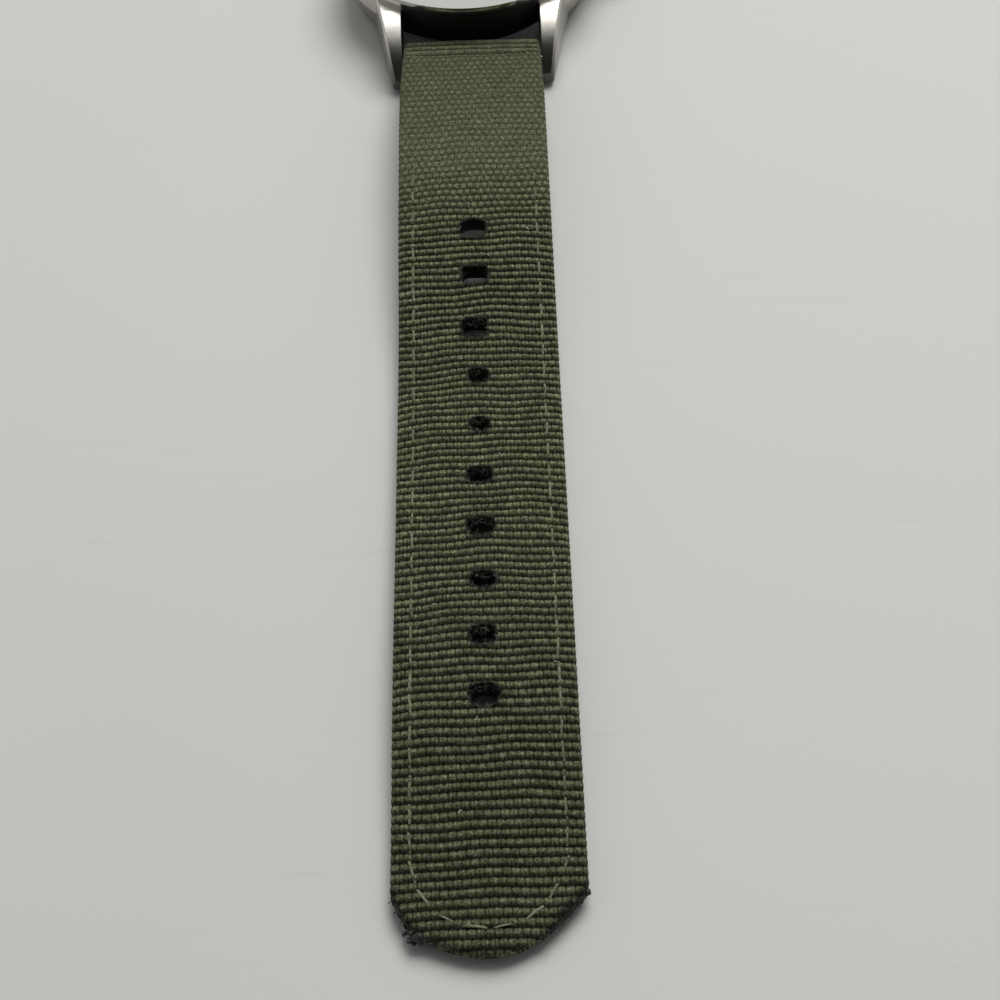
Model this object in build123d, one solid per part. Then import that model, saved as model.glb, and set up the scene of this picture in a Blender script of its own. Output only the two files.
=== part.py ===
"""A hand-wound field watch on a two-piece ribbed webbing strap, laid out flat on a table.

Millimetres. The origin is the centre of the case back's outer face, +Z is up through the dial, +X points
to the crown at three o'clock and +Y to twelve o'clock. The long strap half with the holes runs along -Y
and the buckle half along +Y. Nothing lies below z = 0.
"""

import math
import os

from build123d import *

# Driving sizes: the case is worked out from the movement outwards, and the strap from the gap between the lugs
barrel_distance = 5.88
plate_margin = 1.82
plate_wall = 1.2
holder_width = 1.6
lug_gap = 18.1
overrun = 1.0
seat_gap = 0.03
running_gap = 0.05

# Strap and spring bar sizes shared by both strap halves
strap_side_gap = 0.35
strap_flare = 0.25
strap_end_width = lug_gap - 2 * strap_side_gap
strap_width = strap_end_width + 2 * strap_flare
webbing_thickness = 1.0
lining_thickness = 1.2
bar_height = 2.4
bar_tube_radius = 0.7
bar_pin_radius = 0.4
lug_loop_wall = 1.4
buckle_loop_wall = 0.45
loop_clearance = 0.08

# Levels, stacked up from the table: each one is given by its step from the one below
case_bottom = 0.9
bridge_bottom = 2.7
bridge_thickness = 0.6
stem_rise = 0.7
fourth_step = 0.2
third_step = 0.45
escape_step = 0.3
centre_step = 0.35
floor_step = 0.4
plate_thickness = 1.2
motion_room = 0.6
dial_thickness = 0.4
case_rise = 0.8
bridge_top = bridge_bottom + bridge_thickness
stem_height = bridge_top + stem_rise
fourth_wheel_low = bridge_top + fourth_step
third_wheel_low = fourth_wheel_low + third_step
escape_wheel_low = third_wheel_low + escape_step
centre_wheel_low = escape_wheel_low + centre_step
plate_floor = centre_wheel_low + floor_step
plate_top = plate_floor + plate_thickness
dial_bottom = plate_top + motion_room
dial_top = dial_bottom + dial_thickness
case_top = dial_top + case_rise

# Tooth counts, which set every ratio between the turning pieces
barrel_teeth = 60
centre_pinion_leaves = 10
centre_teeth = 48
third_pinion_leaves = 6
third_teeth = 45
fourth_pinion_leaves = 6
fourth_teeth = 60
escape_pinion_leaves = 6
escape_teeth = 15
cannon_leaves = 10
minute_wheel_teeth = 30
minute_pinion_leaves = 8
hour_wheel_teeth = 32
ratchet_teeth = 34
crown_wheel_teeth = 26
winding_pinion_teeth = 12
clutch_teeth = 12

# A tooth's height above and below the pitch circle in modules, and its widths as shares of the spacing
addendum_share = 0.95
dedendum_share = 1.15
tooth_tip_share = 0.28
tooth_base_share = 0.66

# Where the axes of the train stand, as distances from the centre of the watch and bearings in degrees
third_distance = 3.96
third_bearing = 215
escape_distance = 3.9
escape_bearing = -80
balance_bearing = -38.2
balance_radius = 3.75
balance_rim_gap = 0.15
minute_wheel_distance = 2.88
minute_wheel_bearing = 60
crown_wheel_radius = 3.0
winding_pinion_inset = 2.95

parts = {}


def keep(name, *shapes):
    """Stores the solids of one named node."""
    parts[name] = Compound(children=[solid for shape in shapes for solid in shape.solids()])


def revolved(points):
    """A ring or disc from the outline of its half section, given as (radius, height) points."""
    outline = Plane.XZ * Polyline(*points, close=True)
    return revolve(make_face(outline), Axis.Z)


def disc(radius, low, high, at=(0, 0)):
    """An upright cylinder between two heights."""
    upright = (Align.CENTER, Align.CENTER, Align.MIN)
    return Pos(at[0], at[1], low) * Cylinder(radius, high - low, align=upright)


def tube(outer, inner, low, high, at=(0, 0)):
    """An upright tube between two heights."""
    return disc(outer, low, high, at) - disc(inner, low - overrun, high + overrun, at)


def rod_x(radius, low, high, y=0, z=0):
    """A cylinder along X between two places."""
    upright = (Align.CENTER, Align.CENTER, Align.MIN)
    return Pos(low, y, z) * Rot(0, 90, 0) * Cylinder(radius, high - low, align=upright)


def box_between(low, high):
    """A box given by its lowest and highest corners."""
    size = [b - a for a, b in zip(low, high)]
    return Pos(*low) * Box(*size, align=(Align.MIN, Align.MIN, Align.MIN))


def polar(distance, bearing, centre=(0, 0)):
    """A point in the plan from its distance and bearing, about a centre."""
    angle = math.radians(bearing)
    return (centre[0] + distance * math.cos(angle), centre[1] + distance * math.sin(angle))


def mirrored_pair(shape):
    """A shape and its mirror image across the YZ plane."""
    return [shape, mirror(shape, Plane.YZ)]


def tip_of(teeth, pitch_radius):
    """The radius over the tips of a wheel's teeth."""
    return pitch_radius * (1 + 2 * addendum_share / teeth)


def root_of(teeth, pitch_radius):
    """The radius at the foot of a wheel's teeth."""
    return pitch_radius * (1 - 2 * dedendum_share / teeth)


def toothed(count, root, tip, low, high, at=(0, 0), turn=0.0):
    """A disc with straight flanked teeth. The middle of the first one points at the bearing turn."""
    step = 360 / count
    corners = (
        (root, -tooth_base_share),
        (tip, -tooth_tip_share),
        (tip, tooth_tip_share),
        (root, tooth_base_share),
    )
    outline = [
        polar(radius, turn + (n + share / 2) * step) for n in range(count) for radius, share in corners
    ]
    face = make_face(Polyline(*outline, close=True))
    return Pos(at[0], at[1], low) * extrude(face, high - low)


def gear(teeth, pitch_radius, low, high, at=(0, 0), turn=0.0):
    """A wheel or pinion, given by its teeth and pitch radius."""
    root = root_of(teeth, pitch_radius)
    return toothed(teeth, root, tip_of(teeth, pitch_radius), low, high, at, turn)


def mesh_turn(teeth, other_teeth, bearing, other_turn=0.0):
    """The turn that puts a gap of this wheel on the line of centres where the other wheel has a tooth.

    The bearing is the one from the other wheel to this one.
    """
    other_step = 360 / other_teeth
    step = 360 / teeth
    phase = ((bearing - other_turn) / other_step) % 1
    return bearing + 180 + (0.5 + phase) * step


def pitch_radii(teeth, other_teeth, distance):
    """Pitch radii of two wheels in mesh at a centre distance."""
    share = distance / (teeth + other_teeth)
    return teeth * share, other_teeth * share


# Pitch radii that follow from the centre distances and the tooth counts
centre_radius, third_pinion_radius = pitch_radii(centre_teeth, third_pinion_leaves, third_distance)
third_radius, fourth_pinion_radius = pitch_radii(third_teeth, fourth_pinion_leaves, third_distance)
fourth_radius, escape_pinion_radius = pitch_radii(fourth_teeth, escape_pinion_leaves, escape_distance)
barrel_radius, centre_pinion_radius = pitch_radii(barrel_teeth, centre_pinion_leaves, barrel_distance)
minute_wheel_radius, cannon_radius = pitch_radii(minute_wheel_teeth, cannon_leaves, minute_wheel_distance)
hour_wheel_radius, minute_pinion_radius = pitch_radii(
    hour_wheel_teeth, minute_pinion_leaves, minute_wheel_distance
)

# The plate reaches past the barrel, the holder fills what is left of the bore, and the case stands round it
plate_radius = barrel_distance + tip_of(barrel_teeth, barrel_radius) + plate_margin
bore_radius = plate_radius + holder_width
dial_edge_gap = 0.1
dial_radius = bore_radius - dial_edge_gap
balance_distance = plate_radius - plate_wall - balance_radius - balance_rim_gap
winding_pinion_start = plate_radius - winding_pinion_inset

# The crown wheel's teeth lie over the winding pinion, and the barrel stands where its ratchet meets them
crown_wheel_root = root_of(crown_wheel_teeth, crown_wheel_radius)
crown_wheel_at = (winding_pinion_start - running_gap - crown_wheel_root, 0)
ratchet_radius = crown_wheel_radius * ratchet_teeth / crown_wheel_teeth
winding_span = crown_wheel_radius + ratchet_radius
barrel_bearing = math.degrees(
    math.acos(
        (barrel_distance**2 + crown_wheel_at[0] ** 2 - winding_span**2)
        / (2 * barrel_distance * crown_wheel_at[0])
    )
)
barrel_at = polar(barrel_distance, barrel_bearing)
third_at = polar(third_distance, third_bearing)
escape_at = polar(escape_distance, escape_bearing)
balance_at = polar(balance_distance, balance_bearing)
minute_wheel_at = polar(minute_wheel_distance, minute_wheel_bearing)

# Case middle and its lugs: radii from the bore outwards, and heights down from the case's top
gasket_groove_inset = 0.45
gasket_groove_width = 0.5
gasket_groove_depth = 0.4
back_flange_lip = 0.35
case_foot_step = 0.3
case_swell = 1.4
case_shoulder_step = 0.15
flank_low = 4.6
flank_drop = 0.3
bezel_seat_width = 0.65
bezel_seat_depth = 0.6
bar_clearance = 2.9
lug_overhang = 2.5
lug_tip_width = 1.35
lug_taper = 0.19
lug_root_inset = 7.5
lug_root_drop = 0.7
lug_crest_inset = 2.5
lug_crest_drop = 1.05
lug_bend_share = 0.6
lug_bend_rise_share = 0.64
lug_tip_top = 1.9
lug_tip_bottom = 0.55
lug_heel_inset = 3.0
lug_edge_chamfer = 0.3

gasket_groove_inner = bore_radius + gasket_groove_inset
gasket_groove_outer = gasket_groove_inner + gasket_groove_width
back_flange_radius = gasket_groove_outer + back_flange_lip
case_foot_radius = back_flange_radius + case_foot_step
case_radius = case_foot_radius + case_swell
case_shoulder_radius = case_radius - case_shoulder_step
flank_high = case_top - flank_drop
bezel_seat_radius = bore_radius + bezel_seat_width
bezel_seat_height = case_top - bezel_seat_depth
bar_offset = case_radius + bar_clearance
lug_reach = bar_offset + lug_overhang
lug_root = case_radius - lug_root_inset
lug_root_height = case_top - lug_root_drop
lug_crest = case_radius - lug_crest_inset
lug_crest_height = case_top - lug_crest_drop
lug_heel = case_radius - lug_heel_inset
pin_hole_depth = 0.85
pin_hole_gap = 0.05
tube_hole_radius = 0.95


def lug_pair():
    """The two lugs that point along -Y, before they join the case."""
    tip = lug_reach
    bend = (
        -(lug_crest + lug_bend_share * (tip - lug_crest)),
        lug_tip_top + lug_bend_rise_share * (lug_crest_height - lug_tip_top),
    )
    side = Plane.YZ * (
        Polyline((-lug_root, lug_root_height), (-lug_crest, lug_crest_height))
        + ThreePointArc((-lug_crest, lug_crest_height), bend, (-tip, lug_tip_top))
        + Polyline(
            (-tip, lug_tip_top),
            (-tip, lug_tip_bottom),
            (-lug_heel, case_bottom),
            (-lug_root, case_bottom),
            (-lug_root, lug_root_height),
        )
    )
    tip_x = lug_gap / 2 + lug_tip_width
    root_x = tip_x + lug_taper * (tip - lug_root)
    plan = Polyline(
        (lug_gap / 2, -lug_root),
        (lug_gap / 2, -tip - overrun),
        (tip_x - lug_taper * overrun, -tip - overrun),
        (root_x, -lug_root),
        close=True,
    )
    lug = extrude(make_face(side), root_x) & extrude(make_face(plan), case_top)
    outer_edges = [
        edge
        for edge in lug.edges()
        if edge.center().X > lug_gap / 2 + lug_tip_width / 2
        and edge.center().Z > lug_tip_top
        and -tip < edge.center().Y < -lug_root
    ]
    return mirrored_pair(chamfer(outer_edges, lug_edge_chamfer))


def case_middle():
    """The case band with four lugs, its bore, seats, crown tube hole and spring bar holes."""
    body = revolved(
        [
            (0, case_bottom),
            (case_foot_radius, case_bottom),
            (case_radius, flank_low),
            (case_radius, flank_high),
            (case_shoulder_radius, case_top),
            (0, case_top),
        ]
    )
    lugs = lug_pair()
    lugs += [mirror(lug, Plane.XZ) for lug in lugs]
    for lug in lugs:
        body += lug
    body -= disc(bore_radius, case_bottom - overrun, case_top + overrun)
    body -= disc(bezel_seat_radius, bezel_seat_height, case_top + overrun)
    groove_top = case_bottom + gasket_groove_depth
    body -= tube(gasket_groove_outer, gasket_groove_inner, case_bottom - overrun, groove_top)
    reach = lug_gap / 2 + pin_hole_depth
    for y in (-bar_offset, bar_offset):
        body -= rod_x(bar_pin_radius + pin_hole_gap, -reach, reach, y, bar_height)
    body -= rod_x(tube_hole_radius, 0, case_radius + overrun, z=stem_height)
    keep("case_middle", body)


# Screw-in case back, with key notches in its rim
back_flange_bottom = 0.35
back_slope_width = 1.2
back_thread_height = 1.3
back_wall = 1.35
back_floor = 0.8
notch_count = 6
notch_width = 2.6
notch_depth = 1.3

back_face_radius = back_flange_radius - back_slope_width
back_thread_radius = bore_radius - running_gap
back_thread_top = case_bottom + back_thread_height
back_inner_radius = back_thread_radius - back_wall


def case_back():
    """The threaded back and the gasket that it presses into the groove."""
    back = revolved(
        [
            (0, 0),
            (back_face_radius, 0),
            (back_flange_radius, back_flange_bottom),
            (back_flange_radius, case_bottom - seat_gap),
            (back_thread_radius, case_bottom - seat_gap),
            (back_thread_radius, back_thread_top),
            (back_inner_radius, back_thread_top),
            (back_inner_radius, back_floor),
            (0, back_floor),
        ]
    )
    notch = box_between(
        (back_flange_radius - notch_depth, -notch_width / 2, -overrun),
        (back_flange_radius + overrun, notch_width / 2, back_flange_bottom),
    )
    for n in range(notch_count):
        back -= Rot(0, 0, n * 360 / notch_count) * notch
    keep("case_back", back)
    gasket_top = case_bottom + gasket_groove_depth - seat_gap
    outer = gasket_groove_outer - seat_gap
    keep("case_back_gasket", tube(outer, gasket_groove_inner + seat_gap, case_bottom, gasket_top))


# Bezel, crystal, its gasket and the flange ring under it
bezel_inset = 0.05
bezel_wall = 0.55
bezel_height = 1.6
bezel_bore_inset = 0.3
bezel_crown_width = 0.6
bezel_ledge_inset = 0.05
bezel_ledge_rise = 0.45
crystal_gasket_width = 0.4
crystal_gasket_drop = 0.35
crystal_rim_height = 1.2
crystal_rise = 0.4
crystal_bevel = 0.6
flange_width = 1.05
flange_slope = 0.75

bezel_radius = case_radius - bezel_inset
bezel_wall_top = case_top + bezel_wall
bezel_top = case_top + bezel_height
bezel_bore = bore_radius + bezel_bore_inset
bezel_crown_radius = bezel_bore + bezel_crown_width
bezel_ledge_radius = bore_radius + bezel_ledge_inset
bezel_ledge = case_top + bezel_ledge_rise
crystal_radius = bezel_bore - crystal_gasket_width
crystal_bottom = bezel_ledge + running_gap
crystal_rim_top = crystal_bottom + crystal_rim_height
crystal_top = crystal_rim_top + crystal_rise
flange_inner = dial_radius - flange_width


def bezel_and_crystal():
    """The polished ring on top of the case and the flat glass with a bevelled rim set in it."""
    keep(
        "bezel",
        revolved(
            [
                (bezel_ledge_radius, bezel_seat_height + seat_gap),
                (bezel_seat_radius - seat_gap, bezel_seat_height + seat_gap),
                (bezel_seat_radius - seat_gap, case_top),
                (bezel_radius, case_top),
                (bezel_radius, bezel_wall_top),
                (bezel_crown_radius, bezel_top),
                (bezel_bore, bezel_top),
                (bezel_bore, bezel_ledge),
                (bezel_ledge_radius, bezel_ledge),
            ]
        ),
    )
    keep(
        "crystal",
        revolved(
            [
                (0, crystal_bottom),
                (crystal_radius, crystal_bottom),
                (crystal_radius, crystal_rim_top),
                (crystal_radius - crystal_bevel, crystal_top),
                (0, crystal_top),
            ]
        ),
    )
    gasket_outer = bezel_bore - seat_gap
    gasket_top = crystal_rim_top - crystal_gasket_drop
    keep("crystal_gasket", tube(gasket_outer, crystal_radius + seat_gap, bezel_ledge, gasket_top))
    flange_top = crystal_bottom - seat_gap
    keep(
        "flange_ring",
        revolved(
            [
                (flange_inner, dial_top),
                (dial_radius, dial_top),
                (dial_radius, flange_top),
                (flange_inner + flange_slope, flange_top),
            ]
        ),
    )


# Dial and the ring that centres the movement in the case
dial_hole = 1.15
dial_foot_radius = 0.35
dial_foot_inset = 1.7
dial_foot_distance = plate_radius - dial_foot_inset
dial_foot_depth = 0.8
dial_foot_bearings = (140, 320)


def dial_and_holder():
    """The dial with its two feet, and the movement holder under its rim."""
    dial = tube(dial_radius, dial_hole, dial_bottom, dial_top)
    for bearing in dial_foot_bearings:
        at = polar(dial_foot_distance, bearing)
        dial += disc(dial_foot_radius, plate_top - dial_foot_depth, dial_top, at)
    keep("dial", dial)
    holder = tube(bore_radius - running_gap, plate_radius + seat_gap, back_thread_top, dial_bottom)
    holder -= rod_x(tube_hole_radius, 0, case_radius, z=stem_height)
    keep("movement_holder", holder)


# Hands: their levels, lengths and widths, and where they point at rest, clockwise from twelve
hour_hand_rise = 0.3
minute_hand_rise = 0.3
seconds_hand_rise = 0.28
hand_thickness = 0.12
hour_hand_length = 8.4
hour_hand_width = 1.7
minute_hand_length = 12.6
minute_hand_width = 1.35
hand_neck_width = 0.55
hand_wide_share = 0.62
hand_neck_share = 0.2
lume_inset = 0.28
hour_hub_radius = 1.35
minute_hub_radius = 1.05
seconds_hub_radius = 0.7
seconds_hand_length = 13.0
seconds_tail = 4.2
seconds_width = 0.32
seconds_tail_width = 0.75
seconds_pivot = 0.13
hour_hand_bearing = 304.0
minute_hand_bearing = 48.0
seconds_hand_bearing = 210.0

hour_hand_low = dial_top + hour_hand_rise
minute_hand_low = hour_hand_low + minute_hand_rise
seconds_hand_low = minute_hand_low + seconds_hand_rise


def hand_blade(length, width, low, high):
    """The outline of a sword hand along +Y."""
    neck = hand_neck_width / 2
    neck_y = length * hand_neck_share
    wide_y = length * hand_wide_share
    outline = [
        (neck, 0),
        (neck, neck_y),
        (width / 2, wide_y),
        (0, length),
        (-width / 2, wide_y),
        (-neck, neck_y),
        (-neck, 0),
    ]
    return Pos(0, 0, low) * extrude(make_face(Polyline(*outline, close=True)), high - low)


def hand_window(length, width, low, high, inset):
    """The lozenge window of a sword hand, held in from the blade's edge by an inset."""
    wide_y = length * hand_wide_share
    outline = [
        (0, length * hand_neck_share + 2 * inset),
        (width / 2 - inset, wide_y),
        (0, length - 3 * inset),
        (inset - width / 2, wide_y),
    ]
    return Pos(0, 0, low) * extrude(make_face(Polyline(*outline, close=True)), high - low)


def sword_hand(name, length, width, low, hub, bore, bearing):
    """A hand with a window and the lume set in it."""
    high = low + hand_thickness
    hand = hand_blade(length, width, low, high)
    hand -= hand_window(length, width, low - overrun, high + overrun, lume_inset)
    hand += disc(hub, low, high)
    hand -= disc(bore, low - overrun, high + overrun)
    lume = hand_window(length, width, low, high, lume_inset + seat_gap)
    keep(name, Rot(0, 0, -bearing) * hand)
    keep(name + "_lume", Rot(0, 0, -bearing) * lume)


def hands():
    """Hour, minute and seconds hands, one above the other."""
    sword_hand(
        "hour_hand",
        hour_hand_length,
        hour_hand_width,
        hour_hand_low,
        hour_hub_radius,
        cannon_outer + running_gap,
        hour_hand_bearing,
    )
    sword_hand(
        "minute_hand",
        minute_hand_length,
        minute_hand_width,
        minute_hand_low,
        minute_hub_radius,
        seconds_pivot + running_gap,
        minute_hand_bearing,
    )
    low = seconds_hand_low
    high = low + hand_thickness
    hand = box_between((-seconds_width / 2, 0, low), (seconds_width / 2, seconds_hand_length, high))
    hand += box_between((-seconds_tail_width / 2, -seconds_tail, low), (seconds_tail_width / 2, 0, high))
    hand += disc(seconds_hub_radius, low, high)
    hand -= disc(seconds_pivot + seat_gap / 2, low - overrun, high + overrun)
    keep("seconds_hand", Rot(0, 0, -seconds_hand_bearing) * hand)


# Arbors and levels of the going train, from the bridges up to the plate
centre_tube_outer = 0.42
cannon_outer = 0.62
hour_tube_outer = 0.95
pivot_radius = 0.12
pivot_length = 0.2
arbor_radius = 0.2
wheel_thickness = 0.2
fourth_pinion_reach = 0.45
third_pinion_lead = 0.1
barrel_sink = 0.05
barrel_tooth_height = 0.3
wheel_arms = 4
arm_width = 0.5
wheel_rim = 0.55
wheel_hub = 0.75

fourth_pinion_top = third_wheel_low + fourth_pinion_reach
third_pinion_low = centre_wheel_low - third_pinion_lead
barrel_low = plate_floor - barrel_sink
barrel_tooth_top = barrel_low + barrel_tooth_height
centre_pinion_top = barrel_tooth_top + running_gap


def crossings(outer, inner, width, low, high, at=(0, 0), turn=0.0):
    """The openings between a wheel's arms, to be cut out of it."""
    ring = tube(outer, inner, low - overrun, high + overrun, at)
    spoke = Box(2 * outer, width, 2 * (high - low) + 4 * overrun)
    for n in range(wheel_arms // 2):
        ring -= Pos(at[0], at[1], low) * Rot(0, 0, turn + n * 360 / wheel_arms) * spoke
    return ring


def spoked_wheel(teeth, radius, low, at=(0, 0), turn=0.0):
    """A train wheel with four arms."""
    high = low + wheel_thickness
    wheel = gear(teeth, radius, low, high, at, turn)
    return wheel - crossings(radius - wheel_rim, wheel_hub, arm_width, low, high, at, turn)


def going_train():
    """Centre, third, fourth and escape wheels, each with its pinion and arbor."""
    third_turn = mesh_turn(third_pinion_leaves, centre_teeth, third_bearing)
    fourth_turn = mesh_turn(fourth_pinion_leaves, third_teeth, third_bearing + 180, third_turn)
    escape_turn = mesh_turn(escape_pinion_leaves, fourth_teeth, escape_bearing, fourth_turn)
    pivot_low = bridge_bottom + running_gap
    pivot_high = plate_floor + pivot_length

    centre = spoked_wheel(centre_teeth, centre_radius, centre_wheel_low)
    pinion_turn = mesh_turn(centre_pinion_leaves, barrel_teeth, barrel_bearing + 180)
    pinion_low = centre_wheel_low + wheel_thickness
    centre += gear(
        centre_pinion_leaves, centre_pinion_radius, pinion_low, centre_pinion_top, turn=pinion_turn
    )
    centre += disc(centre_tube_outer, fourth_pinion_top + seat_gap, minute_hand_low)
    centre -= disc(seconds_pivot + running_gap, case_bottom, case_top + overrun)
    keep("centre_wheel", centre)

    third = spoked_wheel(third_teeth, third_radius, third_wheel_low, third_at, third_turn)
    pinion_high = plate_floor - 2 * running_gap
    third += gear(
        third_pinion_leaves, third_pinion_radius, third_pinion_low, pinion_high, third_at, third_turn
    )
    third += disc(arbor_radius, bridge_top + running_gap, third_pinion_low, third_at)
    third += disc(pivot_radius, pivot_low, pivot_high, third_at)
    keep("third_wheel", third)

    fourth = spoked_wheel(fourth_teeth, fourth_radius, fourth_wheel_low, turn=fourth_turn)
    pinion_low = fourth_wheel_low + wheel_thickness
    fourth += gear(
        fourth_pinion_leaves, fourth_pinion_radius, pinion_low, fourth_pinion_top, turn=fourth_turn
    )
    fourth += disc(seconds_pivot, pivot_low, seconds_hand_low + hand_thickness)
    keep("fourth_wheel", fourth)

    escape = escape_wheel(escape_wheel_low, escape_wheel_low + wheel_thickness)
    pinion_low = fourth_wheel_low - wheel_thickness / 2
    pinion_high = fourth_wheel_low + 2 * wheel_thickness
    escape += gear(
        escape_pinion_leaves, escape_pinion_radius, pinion_low, pinion_high, escape_at, escape_turn
    )
    escape += disc(arbor_radius, fourth_wheel_low, escape_wheel_low, escape_at)
    escape += disc(pivot_radius, pivot_low, pivot_high, escape_at)
    keep("escape_wheel", escape)


# Escapement: the escape wheel's club teeth and the lever between it and the balance
escape_tip_radius = 2.15
escape_root_radius = 1.55
escape_lean = 9.0
escape_tip_angle = 3.0
pallet_angle = 30.0
pallet_bridge_drop = 0.3
pallet_bridge_thickness = 0.2
pallet_bridge_width = 0.8
pallet_foot_reach = 2.0
lever_width = 0.34
pallet_stone = 0.3
lever_horn = 0.45
fork_slot = 0.32
horn_sweep = 0.38

# Balance, its roller, staff, timing screws and hairspring
balance_rim = 0.45
balance_rise = 0.23
balance_thickness = 0.35
balance_screw_count = 4
balance_screw_length = 0.2
balance_screw_radius = 0.13
roller_radius = 0.5
impulse_pin_radius = 0.1
impulse_pin_distance = 0.36
collet_radius = 0.38
hairspring_half_turns = 10
hairspring_inner = 0.45
hairspring_step = 0.15
hairspring_width = 0.06
hairspring_height = 0.12
hairspring_rise = 0.06

pallet_bridge_low = escape_wheel_low - pallet_bridge_drop
balance_low = bridge_top + balance_rise
hairspring_low = bridge_top + hairspring_rise

lever_line = math.degrees(math.atan2(balance_at[1] - escape_at[1], balance_at[0] - escape_at[0]))
lever_setback = escape_tip_radius / math.cos(math.radians(pallet_angle))
pallet_at = polar(lever_setback, lever_line, escape_at)


def escape_wheel(low, high):
    """The club-toothed escape wheel, its teeth leaning forwards."""
    step = 360 / escape_teeth
    outline = []
    for n in range(escape_teeth):
        start = n * step
        outline.append(polar(escape_root_radius, start))
        outline.append(polar(escape_tip_radius, start + escape_lean))
        outline.append(polar(escape_tip_radius, start + escape_lean + escape_tip_angle))
    face = make_face(Polyline(*outline, close=True))
    wheel = Pos(escape_at[0], escape_at[1], low) * extrude(face, high - low)
    rim = escape_root_radius - wheel_rim / 2
    return wheel - crossings(rim, wheel_hub / 2, arm_width / 2, low, high, escape_at)


def pallet_lever():
    """The pallet lever with its two stones and fork, and the little bridge that carries it."""
    low = escape_wheel_low
    high = low + wheel_thickness
    height = high - low
    reach = math.dist(pallet_at, balance_at)
    arm = lever_setback * math.sin(math.radians(pallet_angle))
    length = reach - impulse_pin_distance
    lever = Pos(length / 2, 0, 0) * Box(length, lever_width, height)
    lever += Box(lever_width, 2 * arm, height)
    for side in (-1, 1):
        stone = Box(pallet_stone + lever_width / 2, pallet_stone, height)
        lever += Pos(-pallet_stone / 2, side * (arm - pallet_stone / 2), 0) * stone
    lever += Pos(reach - lever_horn, 0, 0) * Box(lever_horn, 2 * lever_horn, height)
    lever -= Pos(length, 0, 0) * Box(2 * impulse_pin_distance, fork_slot, 2 * height)
    lever -= Pos(reach, 0, 0) * Cylinder(horn_sweep, 2 * height)
    lever = Pos(pallet_at[0], pallet_at[1], low + height / 2) * Rot(0, 0, lever_line) * lever
    lever -= disc(escape_tip_radius + running_gap, low - overrun, high + overrun, escape_at)
    lever += disc(pivot_radius, pallet_bridge_low, plate_floor + pivot_length, pallet_at)
    keep("pallet_fork", lever)

    top = pallet_bridge_low + pallet_bridge_thickness
    span = 2 * pallet_foot_reach
    bar = Pos(0, 0, pallet_bridge_thickness / 2) * Box(
        pallet_bridge_width, span, pallet_bridge_thickness
    )
    bridge = Pos(pallet_at[0], pallet_at[1], pallet_bridge_low) * Rot(0, 0, lever_line) * bar
    for side in (-90, 90):
        foot = polar(pallet_foot_reach, lever_line + side, pallet_at)
        bridge += disc(pallet_bridge_width / 2, pallet_bridge_low, plate_floor, foot)
    bridge -= disc(pivot_radius + seat_gap, pallet_bridge_low - overrun, top + overrun, pallet_at)
    keep("pallet_bridge", bridge)


def spiral(centre, first_radius, step, half_turns, middle_height, width, height):
    """A flat spiral spring of half turns, each wider than the last, as a thin ribbon on edge."""
    arcs = []
    radius = first_radius
    x = radius
    side = 1
    for _ in range(half_turns):
        far = x - side * 2 * radius
        arcs.append(ThreePointArc((x, 0), ((x + far) / 2, side * radius), (far, 0)))
        x = far
        radius += step
        side = -side
    path = Pos(centre[0], centre[1], middle_height) * Wire([e for arc in arcs for e in arc.edges()])
    section = Plane(origin=path @ 0, z_dir=path % 0) * Rectangle(width, height)
    return sweep(section, path=path)


def balance():
    """The balance on its staff, with roller and impulse pin, and the flat hairspring below it."""
    top = balance_low + balance_thickness
    middle = balance_low + balance_thickness / 2
    wheel = tube(balance_radius, balance_radius - balance_rim, balance_low, top, balance_at)
    arm = Box(2 * balance_radius - balance_rim, arm_width, balance_thickness)
    wheel += Pos(balance_at[0], balance_at[1], middle) * Rot(0, 0, lever_line) * arm
    screw_in = balance_radius - balance_rim - balance_screw_length
    screw = rod_x(balance_screw_radius, screw_in, balance_radius - balance_rim / 2, z=middle)
    for n in range(balance_screw_count):
        bearing = lever_line + (n + 0.5) * 360 / balance_screw_count
        wheel += Pos(balance_at[0], balance_at[1], 0) * Rot(0, 0, bearing) * screw
    wheel += disc(arbor_radius, hairspring_low, plate_floor - running_gap, balance_at)
    wheel += disc(collet_radius, hairspring_low, balance_low, balance_at)
    pivot_low = bridge_bottom + running_gap
    wheel += disc(pivot_radius, pivot_low, plate_floor + pivot_length, balance_at)
    roller_low = escape_wheel_low + wheel_thickness + running_gap
    roller_high = roller_low + wheel_thickness
    wheel += disc(roller_radius, roller_low, roller_high, balance_at)
    pin_at = polar(impulse_pin_distance, lever_line + 180, balance_at)
    wheel += disc(impulse_pin_radius, escape_wheel_low, roller_high, pin_at)
    keep("balance_wheel", wheel)
    spring_middle = hairspring_low + hairspring_height / 2
    keep(
        "hairspring",
        spiral(
            balance_at,
            hairspring_inner,
            hairspring_step,
            hairspring_half_turns,
            spring_middle,
            hairspring_width,
            hairspring_height,
        ),
    )


# Barrel, its arbor and the winding wheels on the back of the movement
barrel_lid_drop = 0.2
barrel_tooth_depth = 0.28
barrel_wall = 0.25
barrel_hub_radius = 0.9
barrel_pivot_radius = 0.45
barrel_square = 0.84
mainspring_half_turns = 8
mainspring_step = 0.4
mainspring_width = 0.12
ratchet_drop = 0.5
ratchet_thickness = 0.4
winding_screw_radius = 0.4
winding_screw_head = 0.8
winding_screw_head_height = 0.3
winding_screw_grip = 0.4
click_hub = 0.75
click_length = 2.0
click_width = 0.55
click_bearing = 165
click_gap = 0.9

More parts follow.
